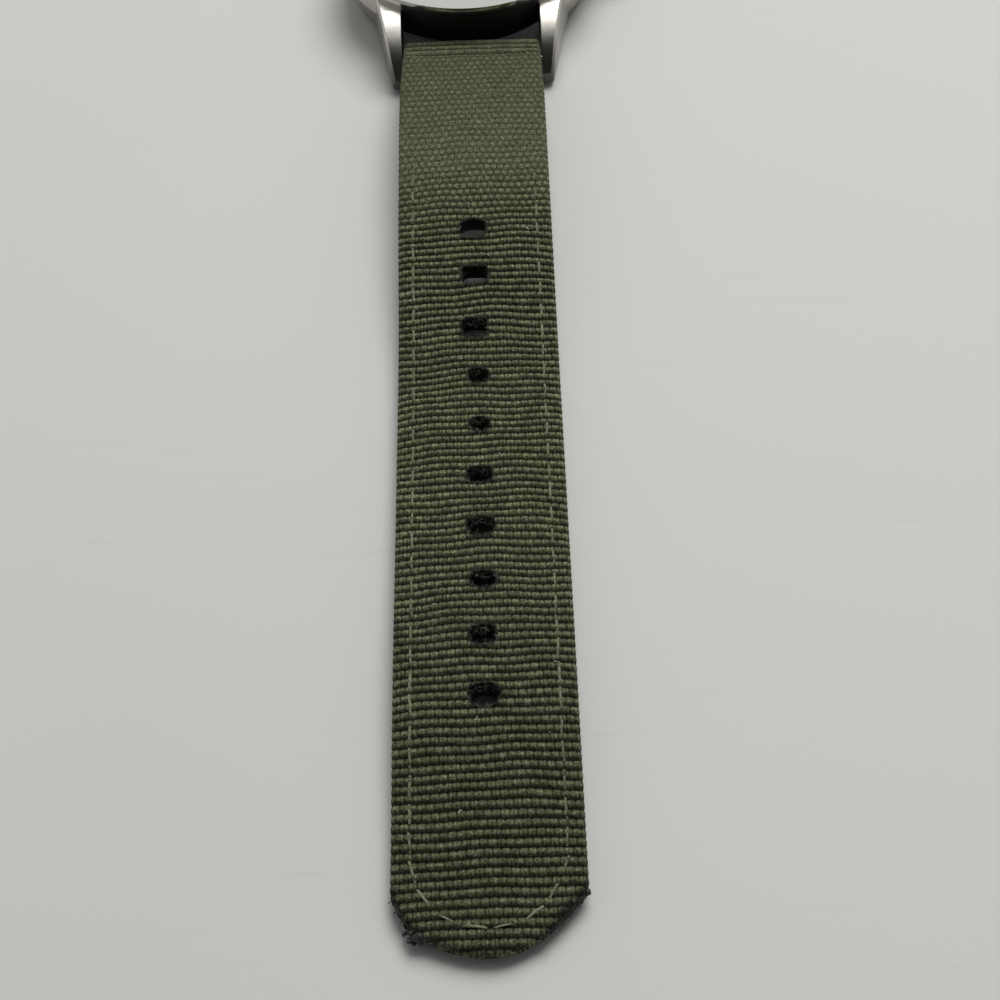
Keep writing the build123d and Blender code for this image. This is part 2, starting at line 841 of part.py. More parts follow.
barrel_top = plate_top - barrel_lid_drop
barrel_drum_radius = root_of(barrel_teeth, barrel_radius) - barrel_tooth_depth
ratchet_low = bridge_bottom - ratchet_drop
ratchet_high = ratchet_low + ratchet_thickness
click_at = polar(tip_of(ratchet_teeth, ratchet_radius) + click_gap, click_bearing, barrel_at)


def barrel():
    """The toothed barrel drum, its arbor and the mainspring inside."""
    pinion_turn = mesh_turn(centre_pinion_leaves, barrel_teeth, barrel_bearing + 180)
    turn = mesh_turn(barrel_teeth, centre_pinion_leaves, barrel_bearing, pinion_turn)
    drum = gear(barrel_teeth, barrel_radius, barrel_low, barrel_tooth_top, barrel_at, turn)
    drum += disc(barrel_drum_radius, barrel_low, barrel_top, barrel_at)
    inside_low = barrel_low + barrel_wall
    inside_high = barrel_top - barrel_wall
    drum -= disc(barrel_drum_radius - barrel_wall, inside_low, inside_high, barrel_at)
    bore = barrel_pivot_radius + running_gap
    drum -= disc(bore, barrel_low - overrun, barrel_top + overrun, barrel_at)
    keep("barrel", drum)
    arbor = disc(barrel_hub_radius, inside_low + running_gap, inside_high - running_gap, barrel_at)
    arbor += disc(barrel_pivot_radius, ratchet_high, barrel_top, barrel_at)
    square = Box(barrel_square, barrel_square, ratchet_thickness)
    arbor += Pos(barrel_at[0], barrel_at[1], ratchet_low + ratchet_thickness / 2) * square
    keep("barrel_arbor", arbor)
    keep(
        "mainspring",
        spiral(
            barrel_at,
            barrel_hub_radius + mainspring_width,
            mainspring_step,
            mainspring_half_turns,
            (barrel_low + barrel_top) / 2,
            mainspring_width,
            inside_high - inside_low - 2 * running_gap,
        ),
    )


def winding_wheels():
    """The crown wheel, the ratchet wheel on the barrel arbor, and the click that holds it."""
    low, high = ratchet_low, ratchet_high
    crown_turn = 180 / crown_wheel_teeth
    crown = gear(crown_wheel_teeth, crown_wheel_radius, low, high, crown_wheel_at, crown_turn)
    bore = winding_screw_radius + running_gap
    crown -= disc(bore, low - overrun, high + overrun, crown_wheel_at)
    keep("crown_wheel", crown)
    bearing = math.degrees(
        math.atan2(barrel_at[1] - crown_wheel_at[1], barrel_at[0] - crown_wheel_at[0])
    )
    turn = mesh_turn(ratchet_teeth, crown_wheel_teeth, bearing, crown_turn)
    ratchet = gear(ratchet_teeth, ratchet_radius, low, high, barrel_at, turn)
    square = barrel_square + 2 * seat_gap
    hole = Box(square, square, 4 * ratchet_thickness)
    ratchet -= Pos(barrel_at[0], barrel_at[1], low) * hole
    keep("ratchet_wheel", ratchet)
    beak = Pos(0, -click_length / 2, ratchet_thickness / 2) * Box(
        click_width, click_length, ratchet_thickness
    )
    click = Pos(click_at[0], click_at[1], low) * Rot(0, 0, click_bearing) * beak
    click += disc(click_hub, low, high, click_at)
    click -= disc(
        tip_of(ratchet_teeth, ratchet_radius) + running_gap, low - overrun, high + overrun, barrel_at
    )
    click -= disc(bore, low - overrun, high + overrun, click_at)
    keep("click", click)
    screws = []
    for at in (crown_wheel_at, click_at):
        head_high = low - running_gap
        screw = disc(winding_screw_head, head_high - winding_screw_head_height, head_high, at)
        screw += disc(winding_screw_radius, head_high, bridge_bottom + winding_screw_grip, at)
        screws.append(screw)
    keep("winding_screws", *screws)


# Main plate, the bridges below it and their screws
barrel_recess_gap = 0.12
bridge_screw_radius = 0.35
bridge_screw_head = 0.6
bridge_screw_head_height = 0.35
bridge_screw_slot = 0.15
bridge_screw_grip = 0.8
bridge_screw_shares = (0.18, 0.82)
bridge_gap_angle = 1.5
bridge_boss = 1.4
bridge_spans = {
    "train_bridge": (150, 290),
    "barrel_bridge": (-19, 150),
    "balance_cock": (290, 341),
}
keyless_gap = 0.1

bridge_edge = plate_radius - running_gap
bridge_screw_distance = plate_radius - plate_wall / 2


def sector(radius, start, stop, low, high):
    """A wedge of a disc between two bearings."""
    arc = ThreePointArc(
        polar(radius, start), polar(radius, (start + stop) / 2), polar(radius, stop)
    )
    outline = Line((0, 0), polar(radius, start)) + arc + Line(polar(radius, stop), (0, 0))
    return Pos(0, 0, low) * extrude(make_face(outline), high - low)


def bridge_screw_places(span):
    """Where the two screws of a bridge stand."""
    start, stop = span
    return [
        polar(bridge_screw_distance, start + share * (stop - start)) for share in bridge_screw_shares
    ]


def main_plate():
    """The plate that carries the train, hollow underneath, with the minute wheel's post on top."""
    plate = disc(plate_radius, bridge_top, plate_top)
    plate -= disc(plate_radius - plate_wall, bridge_top - overrun, plate_floor)
    recess = tip_of(barrel_teeth, barrel_radius) + barrel_recess_gap
    plate -= disc(recess, bridge_top, barrel_top + running_gap, barrel_at)
    recess = tip_of(centre_pinion_leaves, centre_pinion_radius) + running_gap
    plate -= disc(recess, bridge_top, centre_pinion_top + running_gap)
    plate -= disc(centre_tube_outer + running_gap, bridge_top, plate_top + overrun)
    for at in (third_at, escape_at, balance_at, pallet_at):
        plate -= disc(pivot_radius + seat_gap, bridge_top, plate_floor + 2 * pivot_length, at)
    plate -= rod_x(stem_radius + running_gap, stem_inner_end, case_radius, z=stem_height)
    recess = tip_of(winding_pinion_teeth, winding_pinion_radius) + keyless_gap
    recess_start = clutch_start - clutch_travel - keyless_gap
    recess_end = winding_pinion_start + winding_pinion_length + keyless_gap
    plate -= rod_x(recess, recess_start, recess_end, z=stem_height)
    for bearing in dial_foot_bearings:
        at = polar(dial_foot_distance, bearing)
        hole_low = plate_top - dial_foot_depth - seat_gap
        plate -= disc(dial_foot_radius + seat_gap, hole_low, plate_top + overrun, at)
    for span in bridge_spans.values():
        for at in bridge_screw_places(span):
            hole_high = bridge_top + bridge_screw_grip + running_gap
            plate -= disc(bridge_screw_radius + seat_gap, bridge_top - overrun, hole_high, at)
    plate += disc(arbor_radius, plate_top - seat_gap, minute_pinion_top, minute_wheel_at)
    keep("main_plate", plate)


def bridges():
    """Train bridge, barrel bridge and balance cock, with the screws that hold them."""
    screws = []
    for name, (start, stop) in bridge_spans.items():
        low, high = bridge_bottom, bridge_top
        bridge = sector(bridge_edge, start + bridge_gap_angle, stop - bridge_gap_angle, low, high)
        if name == "train_bridge":
            bridge += disc(bridge_boss, low, high)
        else:
            bridge -= disc(bridge_boss + running_gap, low - overrun, high + overrun)
        for at in (third_at, escape_at, balance_at, (0, 0)):
            bridge -= disc(seconds_pivot + seat_gap, low - overrun, high + overrun, at)
        bore = barrel_pivot_radius + running_gap
        bridge -= disc(bore, low - overrun, high + overrun, barrel_at)
        for at in (crown_wheel_at, click_at):
            bridge -= disc(winding_screw_radius + seat_gap, low - overrun, high + overrun, at)
        pinion_tip = tip_of(winding_pinion_teeth, winding_pinion_radius) + keyless_gap
        bridge -= box_between(
            (clutch_start - clutch_travel - keyless_gap, -pinion_tip, low - overrun),
            (
                winding_pinion_start + winding_pinion_length + keyless_gap,
                pinion_tip,
                high + overrun,
            ),
        )
        for at in bridge_screw_places((start, stop)):
            bridge -= disc(bridge_screw_radius + seat_gap, low - overrun, high + overrun, at)
            screw = disc(bridge_screw_radius, low, high + bridge_screw_grip, at)
            head_low = low - bridge_screw_head_height
            screw += disc(bridge_screw_head, head_low, low, at)
            slot = Box(4 * bridge_screw_head, bridge_screw_slot, bridge_screw_head_height)
            screws.append(screw - Pos(at[0], at[1], head_low) * slot)
        keep(name, bridge)
    keep("bridge_screws", *screws)


# Motion work under the dial
motion_thickness = 0.22
dial_clearance = 0.08

motion_low = plate_top + running_gap
minute_pinion_top = dial_bottom - dial_clearance


def motion_work():
    """Cannon pinion, minute wheel and hour wheel, which gear the hands twelve to one."""
    motion_high = motion_low + motion_thickness
    cannon = gear(cannon_leaves, cannon_radius, motion_low, motion_high)
    cannon += disc(cannon_outer, motion_high, minute_hand_low)
    cannon -= disc(centre_tube_outer + seat_gap / 2, motion_low - overrun, case_top + overrun)
    keep("cannon_pinion", cannon)

    turn = mesh_turn(minute_wheel_teeth, cannon_leaves, minute_wheel_bearing)
    at = minute_wheel_at
    wheel = gear(minute_wheel_teeth, minute_wheel_radius, motion_low, motion_high, at, turn)
    wheel += gear(
        minute_pinion_leaves, minute_pinion_radius, motion_high, minute_pinion_top, at, turn
    )
    wheel -= disc(arbor_radius + seat_gap, motion_low - overrun, case_top, at)
    keep("minute_wheel", wheel)

    bearing = minute_wheel_bearing + 180
    turn = mesh_turn(hour_wheel_teeth, minute_pinion_leaves, bearing, turn)
    hour_low = motion_high + running_gap
    hour_high = minute_pinion_top - running_gap
    hour = gear(hour_wheel_teeth, hour_wheel_radius, hour_low, hour_high, turn=turn)
    hour += disc(hour_tube_outer, hour_low, hour_hand_low)
    hour -= disc(cannon_outer + seat_gap, motion_low - overrun, case_top + overrun)
    keep("hour_wheel", hour)


# Crown, stem and the keyless works on it
crown_gap = 0.5
crown_length = 3.3
crown_radius = 2.7
crown_flutes = 24
crown_flute_depth = 0.22
crown_chamfer = 0.35
crown_cavity_radius = 1.65
crown_cavity_depth = 1.2
crown_thread = 1.3
crown_tube_bore = 0.52
crown_tube_length = 0.8
crown_gasket_width = 0.3
stem_radius = 0.42
stem_pivot_length = 0.4
square_side = 0.56
square_lead = 1.55
clutch_gap = 0.15
clutch_length = 1.25
clutch_radius = 0.95
clutch_groove = 0.3
clutch_groove_share = 0.7
clutch_travel = 0.7
winding_pinion_length = 1.0
winding_pinion_radius = 1.33

crown_start = case_radius + crown_gap
clutch_start = winding_pinion_start - clutch_gap - clutch_length
square_start = clutch_start - square_lead
square_end = winding_pinion_start + winding_pinion_length
stem_inner_end = square_start - stem_pivot_length


def crown_and_stem():
    """The fluted crown on its stem, with the tube and the gasket that it slides on."""
    end = crown_start + crown_length
    crown = revolved(
        [
            (0, crown_start),
            (crown_radius - crown_chamfer, crown_start),
            (crown_radius, crown_start + crown_chamfer),
            (crown_radius, end - 2 * crown_chamfer),
            (crown_radius - 2 * crown_chamfer, end - crown_chamfer / 2),
            (0, end),
        ]
    )
    root = crown_radius - crown_flute_depth
    crown &= toothed(crown_flutes, root, crown_radius, crown_start, end)
    cavity_end = crown_start + crown_cavity_depth
    crown -= disc(crown_cavity_radius, crown_start - overrun, cavity_end)
    stem_end = cavity_end + crown_thread
    crown -= disc(stem_radius, cavity_end, stem_end)
    keep("crown", Pos(0, 0, stem_height) * Rot(0, 90, 0) * crown)

    stem = rod_x(stem_radius, square_end, stem_end, z=stem_height)
    square = Box(square_end - square_start, square_side, square_side)
    stem += Pos((square_start + square_end) / 2, 0, stem_height) * square
    stem += rod_x(square_side / 2, stem_inner_end, square_start, z=stem_height)
    keep("stem", stem)

    tube_end = crown_start + crown_tube_length
    crown_tube = rod_x(tube_hole_radius - seat_gap, bore_radius, tube_end, z=stem_height)
    crown_tube -= rod_x(crown_tube_bore, 0, tube_end + overrun, z=stem_height)
    keep("crown_tube", crown_tube)
    gasket_low = crown_start + running_gap
    gasket_high = gasket_low + crown_gasket_width
    gasket = rod_x(crown_cavity_radius - seat_gap, gasket_low, gasket_high, z=stem_height)
    gasket -= rod_x(tube_hole_radius + seat_gap, 0, tube_end + overrun, z=stem_height)
    keep("crown_gasket", gasket)


def clutch_and_pinion():
    """The clutch that slides on the stem's square and the winding pinion beside it."""
    to_x = Pos(0, 0, stem_height) * Rot(0, 90, 0)
    clutch_end = clutch_start + clutch_length
    clutch = gear(clutch_teeth, clutch_radius, clutch_start, clutch_end)
    middle = (clutch_start + clutch_end) / 2
    groove_low = middle - clutch_groove / 2
    groove_high = middle + clutch_groove / 2
    clutch -= tube(2 * clutch_radius, clutch_radius * clutch_groove_share, groove_low, groove_high)
    hole = square_side + 2 * seat_gap
    clutch -= Pos(0, 0, middle) * Box(hole, hole, 2 * clutch_length)
    keep("clutch_wheel", to_x * clutch)
    pinion_end = winding_pinion_start + winding_pinion_length
    pinion = gear(winding_pinion_teeth, winding_pinion_radius, winding_pinion_start, pinion_end)
    pinion -= disc(stem_radius + seat_gap, winding_pinion_start - overrun, pinion_end + overrun)
    keep("winding_pinion", to_x * pinion)


# Spring bars
bar_shoulder = 0.75
bar_pin_inside = 1.6
bar_bore_gap = 0.04


def spring_bar(name, y, z, gap):
    """A spring bar across a gap: a tube with a sprung pin in each end that reaches into the holes."""
    half = lug_gap / 2 - bar_shoulder
    body = rod_x(bar_tube_radius, -half, half, y, z)
    body -= rod_x(bar_pin_radius + bar_bore_gap, -half - overrun, half + overrun, y, z)
    keep(name + "_tube", body)
    reach = gap / 2 + pin_hole_depth - running_gap
    pin = rod_x(bar_pin_radius, half - bar_pin_inside, reach, y, z)
    for side, solid in zip(("right", "left"), mirrored_pair(pin)):
        keep(f"{name}_pin_{side}", solid)


# The strap's seam runs between webbing and lining. Each route gives places as shares of the length from the
# spring bar and of the arch, which is how far the lining rises off the table
tail_length = 121.6
buckle_bar_distance = 72.0
buckle_bar_height = 1.75
strap_arch = 5.0
webbing_start = 1.2
seam_rise = 1.25
route_bend_share = 0.45
tail_shares = [
    (0.028, 0.83),
    (0.079, 0.98),
    (0.152, 0.986),
    (0.288, 0.688),
    (0.411, 0.13),
    (0.617, 0.15),
    (0.765, 0.284),
    (0.909, 0),
    (1, 0.016),
]
buckle_shares = [
    (0.047, 0.83),
    (0.133, 0.98),
    (0.25, 0.95),
    (0.417, 0.62),
    (0.556, 0.244),
    (0.694, 0.204),
    (0.861, 0.204),
]
buckle_rise_share = 0.93
hole_count = 10
hole_pitch = 6.85
last_hole_inset = 25.75
hole_width = 3.2
hole_length = 2.6
tip_sagitta = 6.4
end_taper_length = 12.0
tongue_slot_width = 2.9
tongue_slot_length = 7.5

first_hole = tail_length - last_hole_inset - (hole_count - 1) * hole_pitch


def route_points(shares, length, start):
    """The seam's points as distances from the spring bar and heights."""
    placed = [(d * length, lining_thickness + rise * strap_arch) for d, rise in shares]
    return [start] + placed


def route_wire(points, direction):
    """Straight runs joined by tangent arcs in the YZ plane, each arc as large as its runs allow."""
    spots = [(0, direction * (bar_offset + d), z) for d, z in points]
    radii = []
    for a, b, c in zip(spots, spots[1:], spots[2:]):
        run_in = Vector(*b) - Vector(*a)
        run_out = Vector(*c) - Vector(*b)
        half_turn = math.radians(run_in.get_angle(run_out)) / 2
        shorter = min(run_in.length, run_out.length)
        radii.append(route_bend_share * shorter / math.tan(half_turn))
    print("seam bends", [round(radius, 1) for radius in radii])
    return FilletPolyline(*spots, radius=radii)


def layer(path, low, high):
    """A layer of the strap, between two offsets from the seam."""
    plane = Plane(origin=path @ 0, x_dir=(1, 0, 0), z_dir=path % 0)
    up = 1 if plane.y_dir.Z > 0 else -1
    section = plane * Pos(0, up * (low + high) / 2, 0) * Rectangle(strap_width, high - low)
    return sweep(section, path=path)


def strap_plan(direction, length, tip):
    """The outline of a strap half seen from above, as a tall block to cut the layers with."""
    half = strap_width / 2
    end_half = strap_end_width / 2
    start = bar_offset - webbing_start - overrun
    full = bar_offset + end_taper_length
    far = bar_offset + length
    outline = Polyline(
        (-half, far - tip),
        (-half, full),
        (-end_half, start),
        (end_half, start),
        (half, full),
        (half, far - tip),
    )
    if tip:
        outline += ThreePointArc((half, far - tip), (0, far), (-half, far - tip))
    else:
        outline += Line((half, far), (-half, far))
    block = Pos(0, 0, -overrun) * extrude(make_face(outline), case_top + 2 * overrun)
    return block if direction > 0 else mirror(block, Plane.XZ)


def strap_layers(points, direction, length, tip):
    """Webbing and lining of a strap half, cut to its plan."""
    path = route_wire(points, direction)
    plan = strap_plan(direction, length, tip)
    return layer(path, 0, webbing_thickness) & plan, layer(path, -lining_thickness, 0) & plan


def with_loop(lining, webbing, y, z, wall):
    """The lining with its loop round a spring bar, under the end of the webbing."""
    bore = bar_tube_radius + loop_clearance
    half = strap_end_width / 2
    lining += rod_x(bore + wall, -half, half, y, z)
    return lining - webbing - rod_x(bore, -strap_width, strap_width, y, z)


def tail_strap():
    """The long half: ribbed webbing over a dark lining, with the holes and a round tip."""
    start = (-webbing_start, bar_height + seam_rise)
    points = route_points(tail_shares, tail_length, start)
    webbing, lining = strap_layers(points, -1, tail_length, tip_sagitta)
    lining = with_loop(lining, webbing, -bar_offset, bar_height, lug_loop_wall)
    for n in range(hole_count):
        y = -(bar_offset + first_hole + n * hole_pitch)
        hole = Pos(0, y, 0) * extrude(SlotOverall(hole_width, hole_length), case_top, both=True)
        webbing -= hole
        lining -= hole
    keep("tail_webbing", webbing)
    keep("tail_lining", lining)


def buckle_strap():
    """The short half, from the lug's spring bar to the buckle's bar, slotted for the tongue."""
    start = (-webbing_start, bar_height + seam_rise)
    points = route_points(buckle_shares, buckle_bar_distance, start)
    over_bar = buckle_bar_height + seam_rise
    points += [
        (buckle_rise_share * buckle_bar_distance, over_bar),
        (buckle_bar_distance + webbing_start, over_bar),
    ]
    webbing, lining = strap_layers(points, 1, buckle_bar_distance + webbing_start, 0)
    bar_y = bar_offset + buckle_bar_distance
    lining = with_loop(lining, webbing, bar_offset, bar_height, lug_loop_wall)
    lining = with_loop(lining, webbing, bar_y, buckle_bar_height, buckle_loop_wall)
    slot = box_between(
        (-tongue_slot_width / 2, bar_y - tongue_slot_length, -overrun),
        (tongue_slot_width / 2, bar_y + webbing_start + overrun, case_top),
    )
    keep("buckle_webbing", webbing - slot)
    keep("buckle_lining", lining - slot)


# Keepers: bands that hold the free end down
keeper_wall = 0.8
keeper_length = 6.0
keeper_side_gap = 0.25
keeper_room = 4.9
keeper_round = 1.3
fixed_keeper_inset = 10.0
keeper_spacing = 12.0

fixed_keeper_at = buckle_bar_distance - fixed_keeper_inset
free_keeper_at = fixed_keeper_at - keeper_spacing


def keeper(name, distance):
    """A band round the strap, with room for the tail on top."""
    inner_width = strap_width + 2 * keeper_side_gap
    outer_width = inner_width + 2 * keeper_wall
    outer = RectangleRounded(outer_width, keeper_room + 2 * keeper_wall, keeper_round)
    inner = RectangleRounded(inner_width, keeper_room, keeper_round - keeper_wall)
    band = extrude(Plane.XZ * (outer - inner), keeper_length / 2, both=True)
    keep(name, Pos(0, bar_offset + distance, keeper_wall + keeper_room / 2) * band)


# Pin buckle
buckle_side_gap = 0.2
buckle_arm = 2.0
buckle_front = 2.3
buckle_length = 10.6
buckle_heel = 2.0
buckle_thickness = 2.0
buckle_top = 2.75
buckle_arch_radius = 34.0
buckle_corner = 3.2
tongue_width = 2.0
tongue_thickness = 0.95
tongue_ring_wall = 0.5
tongue_ring_gap = 0.06
tongue_notch_gap = 0.12
tongue_notch_depth = 0.45
tongue_overhang = 0.7

buckle_inner_width = strap_width + 2 * buckle_side_gap


def buckle_frame():
    """The frame: two arms and a front bar, arched along its length, with a notch for the tongue."""
    bar_y = bar_offset + buckle_bar_distance
    front = bar_y + buckle_length
    back = bar_y - buckle_heel
    outer_width = buckle_inner_width + 2 * buckle_arm
    plan = Pos(0, (front + back) / 2) * RectangleRounded(outer_width, front - back, buckle_corner)
    plan += Pos(0, (bar_y + back) / 2) * Rectangle(outer_width, bar_y - back)
    window_end = front - buckle_front
    window_start = back - 2 * buckle_corner
    plan -= Pos(0, (window_end + window_start) / 2) * RectangleRounded(
        buckle_inner_width, window_end - window_start, buckle_corner / 2
    )
    middle = (front + bar_y) / 2
    axis_height = buckle_top - buckle_arch_radius
    half = outer_width / 2
    arch = rod_x(buckle_arch_radius, -half, half, middle, axis_height)
    arch -= rod_x(buckle_arch_radius - buckle_thickness, -half, half, middle, axis_height)
    frame = extrude(plan, case_top) & arch
    reach = buckle_inner_width / 2 + pin_hole_depth
    frame -= rod_x(bar_pin_radius + pin_hole_gap, -reach, reach, bar_y, buckle_bar_height)
    notch_half = tongue_width / 2 + tongue_notch_gap
    frame -= box_between(
        (-notch_half, front - 2 * buckle_front, buckle_top - tongue_notch_depth),
        (notch_half, front + overrun, case_top),
    )
    keep("buckle_frame", frame)


def buckle_tongue():
    """The tongue, which turns on the buckle's spring bar and rests in the notch."""
    bar_y = bar_offset + buckle_bar_distance
    ring_inner = bar_tube_radius + tongue_ring_gap
    ring_outer = ring_inner + tongue_ring_wall
    half = tongue_width / 2
    ring = rod_x(ring_outer, -half, half, bar_y, buckle_bar_height)
    low = buckle_top - tongue_notch_depth + seat_gap
    high = low + tongue_thickness
    end = bar_y + buckle_length + tongue_overhang
    blade = box_between((-half, bar_y, low), (half, end, high))
    nose = [
        edge
        for edge in blade.edges().filter_by(Axis.Z)
        if edge.center().Y > bar_y + buckle_length
    ]
    tongue = ring + fillet(nose, tongue_width / 3)
    keep("buckle_tongue", tongue - rod_x(ring_inner, -tongue_width, tongue_width, bar_y, buckle_bar_height))


def build():
    """Builds every piece in turn."""
    case_middle()
    case_back()
    bezel_and_crystal()
    dial_and_holder()
    hands()
    going_train()
    pallet_lever()
    balance()
    barrel()
    winding_wheels()
    main_plate()
    bridges()
    motion_work()
    crown_and_stem()
    clutch_and_pinion()
    bar_y = bar_offset + buckle_bar_distance
    spring_bar("tail_spring_bar", -bar_offset, bar_height, lug_gap)
    spring_bar("head_spring_bar", bar_offset, bar_height, lug_gap)
    spring_bar("buckle_spring_bar", bar_y, buckle_bar_height, buckle_inner_width)
    tail_strap()
    buckle_strap()
    keeper("fixed_keeper", fixed_keeper_at)
    keeper("free_keeper", free_keeper_at)
    buckle_frame()
    buckle_tongue()


build()
os.makedirs("parts", exist_ok=True)
for node, shape in parts.items():
    export_step(shape, f"parts/{node}.step")
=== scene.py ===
import math

import bmesh
import bpy
import numpy as np
from mathutils import Matrix, Vector
from mathutils.bvhtree import BVHTree


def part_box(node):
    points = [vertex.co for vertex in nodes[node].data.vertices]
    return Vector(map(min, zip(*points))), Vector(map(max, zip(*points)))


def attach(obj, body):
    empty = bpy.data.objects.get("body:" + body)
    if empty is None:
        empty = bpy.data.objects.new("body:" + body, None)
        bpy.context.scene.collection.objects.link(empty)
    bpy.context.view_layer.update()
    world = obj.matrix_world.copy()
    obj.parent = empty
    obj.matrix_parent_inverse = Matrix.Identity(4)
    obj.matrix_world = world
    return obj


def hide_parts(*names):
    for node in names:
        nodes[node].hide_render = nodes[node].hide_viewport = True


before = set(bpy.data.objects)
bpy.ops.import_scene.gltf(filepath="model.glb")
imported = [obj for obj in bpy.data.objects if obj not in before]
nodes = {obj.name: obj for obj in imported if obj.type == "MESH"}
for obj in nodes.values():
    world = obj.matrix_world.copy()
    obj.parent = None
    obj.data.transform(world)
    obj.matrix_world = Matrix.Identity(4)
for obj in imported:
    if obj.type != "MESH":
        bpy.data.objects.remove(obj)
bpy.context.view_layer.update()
scene = bpy.context.scene
mm = 0.001
print("frame loaded:", len(nodes), "nodes")


# small helpers for node trees, shared by shaders and geometry

def addNode(tree, kind, **settings):
    node = tree.nodes.new(kind)
    for key, value in settings.items():
        setattr(node, key, value)
    return node


def feed(socket, value):
    if isinstance(value, bpy.types.NodeSocket):
        socket.node.id_data.links.new(value, socket)
    elif value is not None:
        socket.default_value = value


def treeOf(*values):
    # the tree of the first socket among the values
    return next(value.node.id_data for value in values if isinstance(value, bpy.types.NodeSocket))


def calc(operation, *values, clamp=False):
    node = addNode(treeOf(*values), "ShaderNodeMath", operation=operation, use_clamp=clamp)
    for socket, value in zip(node.inputs, values):
        feed(socket, value)
    return node.outputs[0]


def times(first, second, clamp=False):
    return calc("MULTIPLY", first, second, clamp=clamp)


def plus(first, second, clamp=False):
    return calc("ADD", first, second, clamp=clamp)


def minus(first, second):
    return calc("SUBTRACT", first, second)


def joined(x=None, y=None, z=None):
    node = addNode(treeOf(x, y, z), "ShaderNodeCombineXYZ")
    for socket, value in zip(node.inputs, (x, y, z)):
        feed(socket, value)
    return node.outputs[0]


def spread(value, low, high, first=0.0, last=1.0):
    node = addNode(treeOf(value), "ShaderNodeMapRange")
    for socket, given in zip(node.inputs, (value, low, high, first, last)):
        feed(socket, given)
    return node.outputs[0]


def mixColor(factor, first, second, blend="MIX"):
    node = addNode(treeOf(factor, first, second), "ShaderNodeMix", data_type="RGBA", blend_type=blend)
    for number, given in ((0, factor), (6, first), (7, second)):
        feed(node.inputs[number], given)
    return node.outputs[2]


def noise(vector, scale, detail=3.0, roughness=0.5):
    node = addNode(treeOf(vector), "ShaderNodeTexNoise")
    for label, given in dict(Vector=vector, Scale=scale, Detail=detail, Roughness=roughness).items():
        feed(node.inputs[label], given)
    return node.outputs[0]


def axesOf(vector):
    node = addNode(treeOf(vector), "ShaderNodeSeparateXYZ")
    feed(node.inputs[0], vector)
    return node.outputs


def scaled(vector, factors):
    node = addNode(treeOf(vector), "ShaderNodeVectorMath", operation="MULTIPLY")
    feed(node.inputs[0], vector)
    feed(node.inputs[1], factors)
    return node.outputs[0]


socketKinds = dict(geometry="NodeSocketGeometry", number="NodeSocketFloat", whole="NodeSocketInt",
                   vector="NodeSocketVector", color="NodeSocketColor", skin="NodeSocketMaterial")


def newGroup(name, treeKind, inputs, outputs):
    tree = bpy.data.node_groups.new(name, treeKind)
    for label, kind, value in inputs:
        socket = tree.interface.new_socket(label, in_out="INPUT", socket_type=socketKinds[kind])
        if value is not None:
            socket.default_value = value
    for label, kind in outputs:
        tree.interface.new_socket(label, in_out="OUTPUT", socket_type=socketKinds[kind])
    return tree, tree.nodes.new("NodeGroupInput").outputs, tree.nodes.new("NodeGroupOutput").inputs


def placeGroup(tree, group, **values):
    node = addNode(tree, "ShaderNodeGroup", node_tree=group)
    for label, value in values.items():
        feed(node.inputs[label], value)
    return node.outputs


# shader groups: each effect is built once and placed with its own values

def grainGroup():
    tree, given, out = newGroup("fineGrain", "ShaderNodeTree", [
        ("Position", "vector", None),
        ("Base", "color", (0.5, 0.5, 0.5, 1)),
        ("Worn", "color", (0.6, 0.6, 0.6, 1)),
        ("Scale", "number", 9000.0),
        ("Grain", "number", 0.3),
        ("Smudge", "number", 0.3),
        ("Roughness", "number", 0.4),
    ], [("Color", "color"), ("Roughness", "number"), ("Height", "number")])
    fine = noise(given["Position"], given["Scale"], 2.0, 0.6)
    cloud = noise(given["Position"], 260.0, 4.0, 0.6)
    handled = times(spread(cloud, 0.42, 0.7), given["Smudge"])
    speck = times(spread(fine, 0.3, 0.7), given["Grain"])
    share = plus(handled, speck, clamp=True)
    feed(out["Color"], mixColor(share, given["Base"], given["Worn"]))
    rise = times(minus(cloud, 0.5), times(given["Smudge"], 0.5))
    feed(out["Roughness"], plus(given["Roughness"], rise, clamp=True))
    feed(out["Height"], fine)
    return tree


